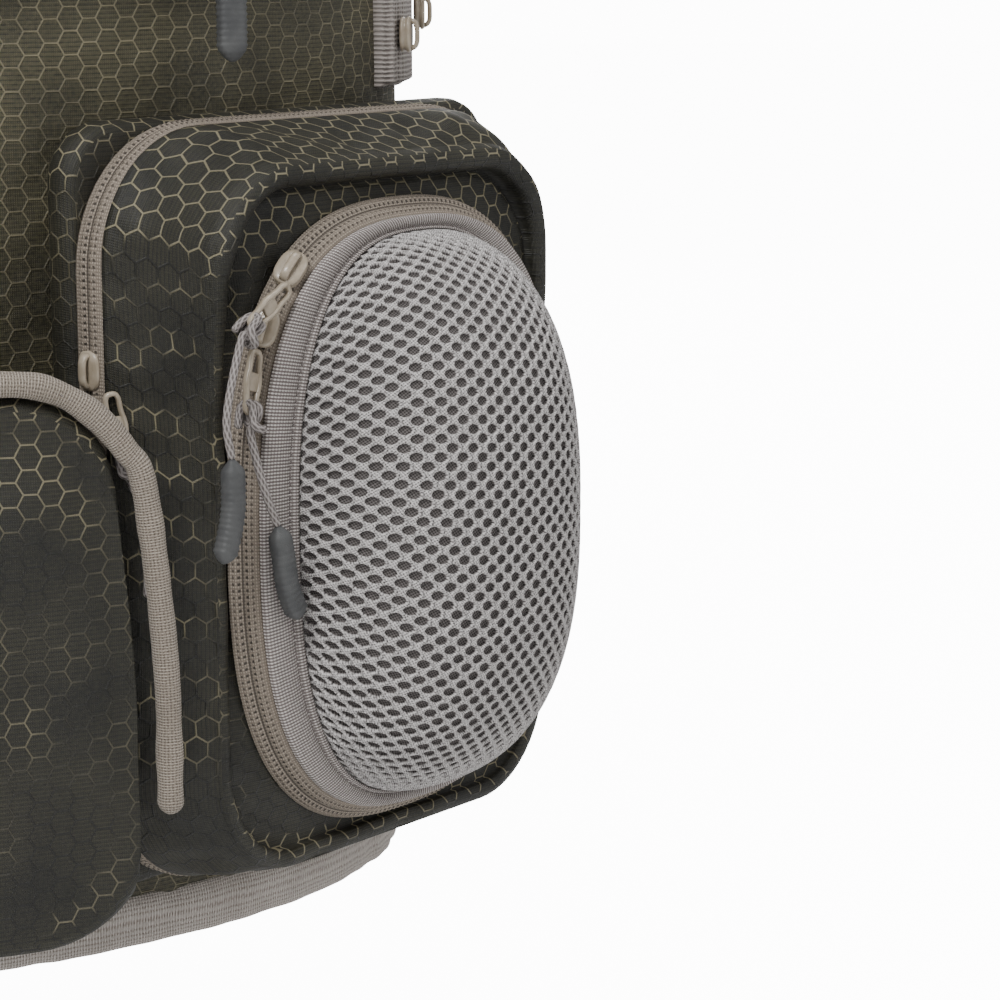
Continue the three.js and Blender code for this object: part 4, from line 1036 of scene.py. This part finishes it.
lining = np.array(bowl(lining_shares[::-1], 3.6, 4.2) + bowl(lining_shares, 1.7, 2.2))
foam_ring = outlines(((FLY_FOAM_WIDTH, FLY_FOAM_HEIGHT, 14), [(0.8, 0), (0, 0.8), (0, 5.2), (0.8, 6)]), 120)
foam_ring += (*POD_MIDDLE, FLY_FOAM_BACK)
for side, turn in SIDES:
    door = f"pod_door_{side}"
    closed_ring(f"pod_zip_tape_{side}", pod_zip_rings, 7, ZIP_TAPE, "shell",
                [f"pod_zip_{side}"], turn)
    closed_ring(f"pod_webbing_{side}", band_rings, 5, GROSGRAIN, door, [f"pod_band_{side}"],
                turn)
    cover = add_piece(f"pod_mesh_{side}", CARGO.place(mesh_points.reshape(-1, 3)),
                      [net_faces, bottom_faces], net_uv,
                      SPACER_MESH, door, [f"pod_cover_{side}"], turn)
    depth = cover.data.attributes.new("depth", "FLOAT", "POINT")
    depth.data.foreach_set("value",
                           np.tile(np.clip(sunk / HOLE_DEPTH, 0, 1), len(centres)).astype(np.float32))
    weld = cover.modifiers.new("weld", "WELD")
    weld.merge_threshold = 0.00004
    shell = pouch(f"pod_lining_{side}", CARGO, lining, len(lining) - 1, LINING, door,
                  turn=turn)
    sheet = pouch(f"fly_foam_sheet_{side}", CARGO, foam_ring, 3, FLY_FOAM, door,
                  [f"fly_foam_{side}"], turn)

# One row of stitches runs through the webbing's inner edge.
STITCH_PITCH, STITCH_LENGTH, STITCH_RADIUS = 2.1, 1.5, 0.3
stitch_path = pod_rings([(POD_BAND_INSET + 10.6, POD_BAND_FACE - 0.05)], 2400)[0]


def stitches(name, path, normal, material, body, turn=1, pitch=STITCH_PITCH, radius=STITCH_RADIUS,
             length=STITCH_LENGTH):
    """A row of separate lockstitches along a path: each a short six-sided bar, bowed up in its middle."""
    run = path_length(path)
    centres = np.arange(pitch / 2, run[-1], pitch)
    rows, sides = np.linspace(-0.5, 0.5, 4), 6
    at = centres[:, None] + rows[None] * length
    line = np.stack([np.interp(at, run, path[:, k]) for k in range(3)], -1)
    ahead = line[:, -1] - line[:, 0]
    ahead /= np.linalg.norm(ahead, axis=1, keepdims=True)
    out = np.broadcast_to(normal, ahead.shape) - ahead * (ahead * normal).sum(1, keepdims=True)
    out /= np.linalg.norm(out, axis=1, keepdims=True)
    side = np.cross(out, ahead)
    turns = np.linspace(0, 2 * np.pi, sides, endpoint=False)
    thick = radius * np.array([0.55, 1, 1, 0.55])
    bow = radius * np.array([-0.9, 0.25, 0.25, -0.9])
    points = (line[:, :, None] + out[:, None, None]
              * (bow[None, :, None, None] + thick[None, :, None, None] * np.sin(turns)[:, None])
              + side[:, None, None] * thick[None, :, None, None] * np.cos(turns)[:, None])
    one = grid_faces(4, sides, around=True)
    start = (np.arange(len(centres)) * 4 * sides)[:, None, None]
    ends = np.stack([np.arange(sides)[::-1], np.arange(sides) + 3 * sides])
    uv = np.stack(np.broadcast_arrays(turns[None, None] * radius, at[..., None]), -1).reshape(-1, 2) * MM
    return add_piece(name, points, [(one + start).reshape(-1, 4), (ends + start).reshape(-1, sides)], uv,
                     material,
                     body, turn=turn)


def thread(name, pale, dark):
    """Twisted sewing thread."""
    twist = Finish(name, 0.7)
    u, v, _ = twist.parts(twist.place())
    strand = twist.ripple(v + u * 0.6, 0.0005)
    twist.colour(twist.blend(strand, dark, pale))
    twist.relief(strand, 0.0002)
    return twist.material


GREY_THREAD = thread("grey_thread", srgb(150, 141, 138), srgb(92, 84, 82))

for side, turn in SIDES:
    stitches(f"webbing_stitches_{side}", CARGO.place(np.concatenate([stitch_path, stitch_path[:1]])),
             CARGO.axes[2],
             GREY_THREAD, f"pod_door_{side}", turn)

# ---- zip sliders and pull links ------------------------------------------------------------------
# Die-cast and enamelled in beige-tan. Each slider is a rounded body with a raised bridge; its pull
# is a flat figure-of-eight link with two windows either side of a plain plate.
SLIDER_LENGTH, SLIDER_WIDTH, SLIDER_THICKNESS = 11, 8, 4.5
LINK_WIDTH, LINK_THICKNESS, LINK_BAR = 6.4, 2, 1.5


def enamel():
    """Glossy baked enamel with a faint orange-peel surface and dust in the hollows."""
    coat = Finish("slider_enamel", 0.3, Coat_Weight=0.35, Coat_Roughness=0.12)
    place = coat.place(False)
    broad, fine = coat.noise(place, 0.004, 3), coat.noise(place, 0.0008, 2)
    shade = coat.blend(broad.step(0.35, 0.7), srgb(150, 138, 120), srgb(170, 158, 140))
    coat.colour(coat.blend(fine.step(0.62, 0.75) * 0.3, shade, srgb(120, 108, 92)))
    coat.gloss(0.24 + fine * 0.16)
    coat.relief(fine, 0.00008)
    return coat.material


ENAMEL = enamel()


def box_of(node):
    """A CAD piece's corners as an array in millimetres."""
    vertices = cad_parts[node].data.vertices
    co = np.zeros(len(vertices) * 3)
    vertices.foreach_get("co", co)
    return co.reshape(-1, 3) / MM


def bar_frame(node, toward):
    """Middle, and unit directions along, across and out of a CAD bar, its length pointing towards a
    direction; the out direction is its thin way, facing away from the body."""
    corners = np.unique(np.round(box_of(node), 3), axis=0)
    middle = corners.mean(0)
    _, _, axes = np.linalg.svd(corners - middle)
    spans = [np.ptp((corners - middle) @ axis) for axis in axes]
    order = np.argsort(spans)[::-1]
    along, out = axes[order[0]], axes[order[2]]
    along = along * np.sign(along @ toward)
    out = out * np.sign(out @ (middle * (1, 1, 0)))
    return middle, along, np.cross(along, out), out, np.array(spans)[order]


def lozenge(name, levels, corners, frame_of, material, body, stands_for=(), turn=1):
    """A solid from outlines stacked along its out direction. levels are (half length, half width, out,
    shift along, squareness) from the back to the front; each outline is a rounded oval."""
    middle, along, across, out = frame_of
    rings = []
    for half_length, half_width, height, shift, squareness in levels:
        outline = ring(half_width, half_length, corners, squareness)
        rings.append(middle + outline[:, :1] * across + (outline[:, 1:] + shift) * along + height * out)
    rings = np.array(rings)
    if np.cross(across, along) @ out < 0:
        rings = rings[:, ::-1]
    rows, columns = rings.shape[:2]
    caps = [np.arange(columns)[None, ::-1], np.arange(columns)[None] + (rows - 1) * columns]
    faces = [grid_faces(rows, columns, around=True), *caps]
    uv = np.stack([(rings.reshape(-1, 3) - middle) @ across, (rings.reshape(-1, 3) - middle) @ along],
                  -1) * MM
    return add_piece(name, rings, faces, uv, material, body, stands_for, turn)


def slider(name, node, toward, body, stands_for, turn=1):
    """A slider's two plates with the waist between them, and the bridge that holds the pull."""
    middle, along, across, out, _ = bar_frame(node, toward)
    placed = (middle, along, across, out)
    thick, half, wide = SLIDER_THICKNESS / 2, SLIDER_LENGTH / 2, SLIDER_WIDTH / 2
    lozenge(name, [
        (half * 0.8, wide * 0.75, -thick, 0.2, 2.6), (half * 0.95, wide * 0.95, -thick + 0.35, 0, 2.6),
        (half * 0.98, wide, -thick + 0.9, 0, 2.8), (half * 0.9, wide * 0.9, -thick + 1.3, 0, 2.6),
        (half * 0.9, wide * 0.88, -thick + 1.9, 0, 2.6), (half, wide, -thick + 2.3, 0, 2.8),
        (half, wide, -thick + 2.9, 0, 2.8), (half * 0.93, wide * 0.9, -thick + 3.3, 0, 2.6),
        (half * 0.7, wide * 0.6, -thick + 3.45, 0, 2.4),
    ], 32, placed, ENAMEL, body, stands_for, turn)
    arch = np.linspace(-1, 1, 25)
    path = (middle + (arch * half * 0.78)[:, None] * along
            + (-thick + 3.1 + 2.0 * np.maximum(0, 1 - arch**4) ** 0.6)[:, None] * out)
    sweep(f"{name}_bridge", path, across, ring(0.75, 1.25, 12, 3), ENAMEL, body, turn=turn)


def link(name, node, toward, body, stands_for, turn=1):
    """A figure-of-eight pull: a closed bar round both windows, and the plain plate between them."""
    middle, along, across, out, spans = bar_frame(node, toward)
    half, wide = spans[0] / 2 - LINK_BAR / 2, LINK_WIDTH / 2 - LINK_BAR / 2
    turns = np.linspace(0, 2 * np.pi, 72, endpoint=False)
    reach = np.sign(np.sin(turns)) * np.abs(np.sin(turns)) ** 0.72 * half
    waist = wide * (0.80 + 0.2 * np.cos(np.pi * reach / half) ** 2)
    width = np.sign(np.cos(turns)) * np.abs(np.cos(turns)) ** 0.62 * waist
    path = middle + width[:, None] * across + reach[:, None] * along
    path = np.concatenate([path, path[:1]])
    ahead = np.roll(path[:-1], -1, 0) - np.roll(path[:-1], 1, 0)
    ahead /= np.linalg.norm(ahead, axis=1, keepdims=True)
    side = np.cross(np.broadcast_to(out, ahead.shape), ahead)
    section = ring(LINK_BAR / 2, LINK_THICKNESS / 2, 10, 2.5)
    points = path[:-1, None] + section[None, :, :1] * side[:, None] + section[None, :, 1:] * out
    faces = grid_faces(73, 10, around=True) % 720
    uv = np.stack([(points.reshape(-1, 3) - middle) @ across, (points.reshape(-1, 3) - middle) @ along],
                  -1) * MM
    add_piece(name, points, [faces], uv, ENAMEL, body, stands_for, turn)
    lozenge(f"{name}_plate", [
        (2.4, wide * 0.9, -0.62, 0, 5), (2.6, wide, -0.45, 0, 5), (2.6, wide, 0.45, 0, 5),
        (2.4, wide * 0.9, 0.62, 0, 5),
    ], 28, (middle, along, across, out), ENAMEL, body, turn=turn)
    return middle, along, across, out, half


# ---- pull cords and grips ------------------------------------------------------------------------
# Round braided cord, grey with pale flecks, tied through each link with a lark's head knot.
# On the pod it ends in a grip of soft blue-grey rubber, moulded on with fine cross ribs.
CORD_DIAMETER = 2.3
GRIP_WIDTH, GRIP_THICKNESS = 6.5, 5.5


def braid():
    """Braided cord: two sets of strands winding opposite ways, flecked pale and dark."""
    cord = Finish("braided_cord", 0.85)
    u, v, _ = cord.parts(cord.place())
    girth = math.pi * CORD_DIAMETER * MM
    wound = u * (6 / girth)
    pitch = 1 / 0.0034
    left = ((wound + v * pitch) * (2 * math.pi)).math("SINE") * 0.5 + 0.5
    right = ((wound - v * pitch) * (2 * math.pi)).math("SINE") * 0.5 + 0.5
    strand = left.math("MAXIMUM", right) * (left.math("MINIMUM", right) * 0.5 + 0.5)
    yarn = cord.noise(cord.place(), 0.0004, 2)
    shade = cord.blend((strand * 0.7 + yarn * 0.45).step(0.3, 0.85), srgb(92, 86, 83), srgb(160, 153, 150))
    cord.colour(cord.blend((left - right).step(0.3, 0.9) * 0.3, shade, srgb(196, 190, 186)))
    cord.relief(strand, 0.00018)
    return cord.material


def rubber():
    """Matte moulded rubber, blue-grey, with a fine spark-eroded grain."""
    soft = Finish("grip_rubber", 0.55)
    place = soft.place(False)
    grain, broad = soft.noise(place, 0.0004, 2), soft.noise(place, 0.006, 2)
    soft.colour(soft.blend(broad.step(0.3, 0.7), srgb(64, 65, 66), srgb(78, 79, 79)))
    soft.gloss(0.48 + grain * 0.2)
    soft.relief(grain, 0.00012)
    return soft.material


BRAID, RUBBER = braid(), rubber()


def grip(name, path, width, thickness, out, body, stands_for, turn=1, rib_from=0.2):
    """A moulded grip along a path: a rounded bar, ribbed on its lower part, with a neck on top."""
    run = path_length(path)
    share = run / run[-1]
    neck = 0.62 + 0.38 * smooth(0.0, 0.16, share)
    ends = np.sqrt(np.clip(np.minimum(share, 1 - share) * run[-1] / (width * 0.45), 0.02, 1))
    ribbed = smooth(rib_from, rib_from + 0.08, share) * smooth(0.97, 0.9, share)
    ribs = 1 + 0.05 * np.sin(2 * np.pi * run / 1.7) * ribbed
    section = ring(width / 2, thickness / 2, 26, 2.9)
    return sweep(name, path, out, section, RUBBER, body, stands_for, turn,
                 scale=neck * ends * ribs)


DOWN = np.array([0.0, 0.0, -1.0])
UPPER_ROUTE = [(-67.5, 32, 46.7)]
UPPER_GRIP = [(-66.5, 20.5, 47.2), (-66.3, 13, 47.4), (-66.9, 4, 47.4), (-70.5, -8, 47.2)]
LOWER_ROUTE = [(-53, 10, 45.7)]
LOWER_GRIP = [(-48, -1, 45.7), (-46.4, -9, 46), (-44.6, -19, 46), (-40, -29, 45.7)]


def lark_head(end, along, across, out):
    """Route of a lark's head knot round the bar at a link's end: behind it, through the window,
    down in front, once round both legs, and up behind, through and down beside the first leg."""
    steps = [
        (1.35, 4.6, -2.2), (1.4, 1.5, -2.5), (1.4, -1.6, -1.9), (1.4, -2.7, 0.1), (1.4, -1.3, 2.2),
        (1.6, 1.6, 2.9), (1.5, 3.6, 3.5), (-0.4, 4.5, 3.9), (-2.6, 4.2, 3.2), (-3.7, 3.6, 0.8),
        (-3.0, 3.0, -1.6), (-1.5, 1.2, -2.6), (-1.3, -1.5, -2.0), (-1.3, -2.7, 0.1),
        (-1.3, -1.4, 2.1), (-1.2, 0.9, 2.1), (-1.0, 3.4, 1.0), (-0.6, 6.4, 0.8),
    ]
    return [end + a * across + l * along + o * out for a, l, o in steps]


def tie(name, knot, route, body, stands_for, turn):
    """A cord along a knot's route and on to where it ends, rounded off at both ends."""
    path = spline(np.concatenate([knot, route]), 260)
    length = path_length(path)[-1]
    made = sweep(name, path, None, ring(CORD_DIAMETER / 2, corners=12), BRAID, body,
                 stands_for, turn, scale=round_ends(260, length, CORD_DIAMETER / 2))
    return made


for side, turn in SIDES:
    for place, route, held in (("upper", UPPER_ROUTE, UPPER_GRIP), ("lower", LOWER_ROUTE, LOWER_GRIP)):
        slider(f"pod_{place}_slider_{side}", f"pod_slider_{place}_left", DOWN, f"pod_slider_{place}_{side}",
               [f"pod_slider_{place}_{side}"], turn)
        pull = f"pod_pull_{place}_{side}"
        middle, along, across, out, half = link(f"pod_{place}_link_{side}", f"pod_link_{place}_left", DOWN,
                                                pull,
                                                [f"pod_link_{place}_{side}"], turn)
        held = spline(CARGO.place(held), 60)
        rubber_grip = grip(f"pod_{place}_grip_{side}", held, GRIP_WIDTH, GRIP_THICKNESS, CARGO.axes[2],
                           pull,
                           [f"pod_grip_{place}_{side}"], turn)
        tie(f"pod_{place}_cord_{side}", lark_head(middle + half * along, along, across, out),
            np.concatenate([CARGO.place(route), held[1:2]]), pull, [f"pod_cord_{place}_{side}"], turn)
    slider(f"cargo_zip_slider_{side}", "cargo_slider_left", DOWN, f"cargo_slider_{side}",
           [f"cargo_slider_{side}"], turn)
    middle, along, across, out, half = link(f"cargo_zip_link_{side}", "cargo_link_left", DOWN,
                                            f"cargo_pull_{side}",
                                            [f"cargo_link_{side}"], turn)
    tail = CARGO.place([(-79.2, 4, 26.5), (-78.6, -10, 26.3), (-79.0, -19, 26.2)])
    tie(f"cargo_zip_cord_{side}", lark_head(middle + half * along, along, across, out), tail,
        f"cargo_pull_{side}",
        [f"cargo_cord_{side}"], turn)
slider("front_slider", "front_zip_slider", DOWN, "front_zip_slider", ["front_zip_slider"])
front_pull = box_of("front_zip_pull")
front_pull = spline([(0, np.ptp(front_pull[:, 1]) / 2 + front_pull[:, 1].min(), z)
                     for z in (front_pull[:, 2].max(), front_pull[:, 2].mean(), front_pull[:, 2].min())],
                     60)
grip("front_pull_grip", front_pull, GRIP_WIDTH, GRIP_THICKNESS, np.array([0.0, -1.0, 0.0]),
     "front_zip_pull", ["front_zip_pull"])

# ---- front pocket --------------------------------------------------------------------------------
# A deep pocket nearer the middle, cut from the same ripstop with a full, slightly domed face.
# A fat roll of heather knit binds the top and outer edge of its mouth.
FRONT_FACING, FRONT_RISE = math.radians(12), 96
FRONT_WIDTH, FRONT_HEIGHT, FRONT_DEPTH, FRONT_ACROSS, FRONT_CORNER = 115, 154, 42, 2.5, 34
BINDING_RADIUS, BINDING_LIFT = 3.6, 3.4
MOUTH_DRAWN_IN = 5.5  # at the mouth's outer corner
CARGO_CLEARANCE = 1.2
FRONT = Plane(FRONT_FACING, FRONT_RISE)

ring_count = 380
edge_levels = [(0, 0.0), (0, 0.2), (0, 0.4), (0, 0.6), (0, 0.78), (0.1, 0.9), (0.5, 0.95), (1.6, 0.985),
               (3.4, 1.0)]
front_rings = []
for inset, level in edge_levels:
    outline = rounded(FRONT_WIDTH - 2 * inset, FRONT_HEIGHT - 2 * inset, FRONT_CORNER - inset, ring_count,
                      (FRONT_ACROSS, 0))
    base = FRONT.body_out(outline[:, 0])
    girth = path_length(outline)
    puff = 1.1 * math.sin(math.pi * level) * (1 + waves(girth, girth * 0 + level * 20, 51, 26))
    outline = outline + (outline - (FRONT_ACROSS, 0)) / 80 * puff[:, None]
    front_rings.append(np.column_stack([outline, mix(base, FRONT_DEPTH, level) + 0 * girth]))
rim = front_rings[-1][:, :2]
for share in np.concatenate([np.linspace(0.97, 0.1, 46), [0.03]]):
    flat = (FRONT_ACROSS, 0) + (rim - (FRONT_ACROSS, 0)) * share
    dome = 3.2 * (1 - share**2) * smooth(0.0, 0.25, 1 - share)
    fold = (waves(flat[:, 0], flat[:, 1] * 0.5, 52, 42) * 0.9
            + waves(flat[:, 0] * 0.6, flat[:, 1], 53, 21) * 0.35)
    front_rings.append(np.column_stack([flat, FRONT_DEPTH + 0.1 + dome + fold * smooth(1, 0.86, share)]))
front_rings = np.array(front_rings)


def clear_of_cargo(rings):
    """Where the pocket would run into the cargo pocket, its wall stops just short of it."""
    there = CARGO.seen(FRONT.place(rings))
    over = np.maximum(0, there[..., 0] + CARGO_WIDTH / 2 + CARGO_CLEARANCE)
    over = over * smooth(CARGO_FACE + 1.6, CARGO_FACE + 0.6, there[..., 2])
    rings[..., 0] -= over / math.cos(CARGO_FACING - FRONT_FACING)
    return rings


def draw_in(points):
    """The binding pulls the mouth's outer corner towards the middle of the pocket."""
    outer = smooth(0, FRONT_WIDTH / 2, points[..., 0]) * smooth(-12, FRONT_HEIGHT / 2, points[..., 1])
    points[..., 0] -= MOUTH_DRAWN_IN * outer * smooth(6, FRONT_DEPTH * 0.7, points[..., 2])
    return points


front_rings = draw_in(clear_of_cargo(front_rings))
reach = BINDING_RADIUS + 0.3
right, left = FRONT_ACROSS + FRONT_WIDTH / 2 + reach, FRONT_ACROSS - FRONT_WIDTH / 2 + FRONT_CORNER
top, corner = FRONT_HEIGHT / 2 + reach, FRONT_CORNER + reach
bend = np.radians([90, 70, 50, 30, 10])
binding_points = np.array([
    (left, top), (mix(left, right - corner, 0.5), top),
    *np.stack([right - corner + corner * np.cos(bend), top - corner + corner * np.sin(bend)], -1),
    (right, 0), (right, -0.35 * top), (right, -0.5 * top),
])
binding_out = np.full(len(binding_points), FRONT_DEPTH - BINDING_RADIUS + BINDING_LIFT)
binding = spline(np.column_stack([binding_points, binding_out]), 320)
binding = FRONT.place(draw_in(binding))
run = path_length(binding)
unevenness = 1 + 0.06 * waves(run, run * 0, 55, 12)
binding_size = BINDING_RADIUS * unevenness * round_ends(320, run[-1], BINDING_RADIUS)
seam = FRONT.place(np.column_stack([rounded(FRONT_WIDTH - 8, FRONT_HEIGHT - 8, FRONT_CORNER - 4, 900,
                                            (FRONT_ACROSS, 0)),
                                    np.full(900, FRONT_DEPTH + 0.35)]))
for side, turn in SIDES:
    stuffed = pouch(f"front_pouch_{side}", FRONT, front_rings, len(edge_levels) - 1, POCKET_RIPSTOP_SHADED,
                    "shell",
                    [f"front_pocket_{side}"], turn)
    sweep(f"front_binding_{side}", binding, FRONT.axes[2], ring(1, 1.05, 16, 2.2), BINDING_KNIT, "shell",
          [f"front_pocket_binding_{side}"], turn, scale=binding_size)
    stitches(f"binding_stitches_{side}", binding[8:-8] + FRONT.axes[2] * BINDING_RADIUS * 0.92,
             FRONT.axes[2], GREY_THREAD,
             "shell", turn, pitch=2.6, radius=0.22)

# ---- chest pocket --------------------------------------------------------------------------------
# A flat pocket high on each front with an upright coil zip along its outer third. A broad
# ribbed rubber grip hangs from the slider.
CHEST_FACING, CHEST_LEVEL = math.radians(24.5), 340
CHEST_WIDTH, CHEST_HEIGHT, CHEST_DEPTH, CHEST_CORNER, CHEST_ZIP_ACROSS = 96, 104, 14, 10, 33
CHEST_GRIP_WIDTH = 8.5
CHEST = Plane(CHEST_FACING, CHEST_LEVEL)
chest_rings = outlines(((CHEST_WIDTH, CHEST_HEIGHT, CHEST_CORNER), [
    (0, 0.0), (0, 0.35), (0, 0.7), (0.2, 0.86), (0.9, 0.96), (2.2, 1.0), (4.5, 1.0),
]), 300)
chest_rings[..., 2] = mix(CHEST.body_out(chest_rings[..., 0]), CHEST_DEPTH, chest_rings[..., 2])
chest_face = []
for share in np.linspace(0.97, 0.06, 30):
    flat = chest_rings[-1, :, :2] * share
    by_zip = smooth(3, 12, np.abs(flat[:, 0] - CHEST_ZIP_ACROSS))
    fold = waves(flat[:, 0], flat[:, 1] * 0.4, 61, 38)
    chest_face.append(np.column_stack([flat,
                                       CHEST_DEPTH + by_zip * (0.5 + 0.6 * fold) * smooth(1, 0.8, share)]))
chest_rings = np.concatenate([chest_rings, chest_face])
chest_u, chest_v = np.meshgrid(np.linspace(-4.5, 4.5, 19),
                               np.linspace(-CHEST_HEIGHT / 2 + 5, CHEST_HEIGHT / 2 - 5, 240))
chest_tape = np.stack([chest_u + CHEST_ZIP_ACROSS, chest_v,
                       CHEST_DEPTH + 0.12 + 0.5 * coil_height(chest_u, chest_v)], -1)
chest_tape = np.stack([chest_tape, chest_tape * (1, 1, 0) + (0, 0, CHEST_DEPTH - 0.3)])
tape_uv = np.stack([chest_u, chest_v], -1).reshape(-1, 2) * MM
for side, turn in SIDES:
    flat_pocket = pouch(f"chest_pouch_{side}", CHEST, chest_rings, 6, SHELL_RIPSTOP, "shell",
                        [f"chest_pocket_{side}"], turn)
    add_piece(f"chest_zip_tape_{side}", CHEST.place(chest_tape), sheet_faces(240, 19),
              np.concatenate([tape_uv] * 2),
              ZIP_TAPE, "shell", turn=turn)
    slider(f"chest_zip_slider_{side}", "chest_slider_left", DOWN, f"chest_slider_{side}",
           [f"chest_slider_{side}"], turn)
    hanging = CHEST.seen(box_of("chest_grip_left"))
    levels_down = np.linspace(hanging[:, 1].max(), hanging[:, 1].min(), 3)
    ends = [(CHEST_ZIP_ACROSS, y, hanging[:, 2].mean()) for y in levels_down]
    grip(f"chest_pull_grip_{side}", spline(CHEST.place(ends), 60), CHEST_GRIP_WIDTH, GRIP_THICKNESS,
         CHEST.axes[2],
         f"chest_grip_{side}", [f"chest_grip_{side}"], turn, rib_from=0.3)

# ---- flank zips ----------------------------------------------------------------------------------
# Two zips side by side on a padded grey ribbed placket at the flank, each with its own slider.
FLANK_FROM, FLANK_TO, FLANK_PROUD = math.radians(72), math.radians(88), 8
FLANK_LOW, FLANK_HIGH = 246, 362
FLANK_ZIPS = (math.radians(75), math.radians(86))
PLACKET = rib_knit("placket_webbing", srgb(188, 181, 175), srgb(158, 150, 144), srgb(104, 97, 92), 0.0014,
                   0.35)
angle, rise = np.meshgrid(np.linspace(FLANK_FROM, FLANK_TO, 46), np.linspace(FLANK_LOW, FLANK_HIGH, 250))
flank_length = oval_length(angle)
rounding = smooth(0, 2.2, flank_length - flank_length[0, 0])
rounding = rounding * smooth(0, 2.2, flank_length[0, -1] - flank_length)
rounding = rounding * smooth(0, 2.0, rise - FLANK_LOW) * smooth(0, 2.0, FLANK_HIGH - rise)
lift = mix(4.5, FLANK_PROUD, rounding)
for zip_angle in FLANK_ZIPS:
    off = flank_length - oval_length(zip_angle)
    lift = lift - 0.9 * np.exp(-(off / 4.2) ** 4) + 0.8 * coil_height(off, rise)
flank_points = np.stack([cloth_point(angle, rise, lift), cloth_point(angle, rise, 1.2)])
flank_uv = np.stack([flank_length, rise], -1).reshape(-1, 2) * MM
for side, turn in SIDES:
    add_piece(f"flank_placket_{side}", flank_points, sheet_faces(250, 46), np.concatenate([flank_uv] * 2),
              PLACKET,
              "shell", [f"flank_zip_{side}"], turn)
    for place in ("inner", "outer"):
        slider(f"flank_{place}_slider_{side}", f"flank_slider_{place}_left", DOWN,
               f"flank_slider_{place}_{side}",
               [f"flank_slider_{place}_{side}"], turn)
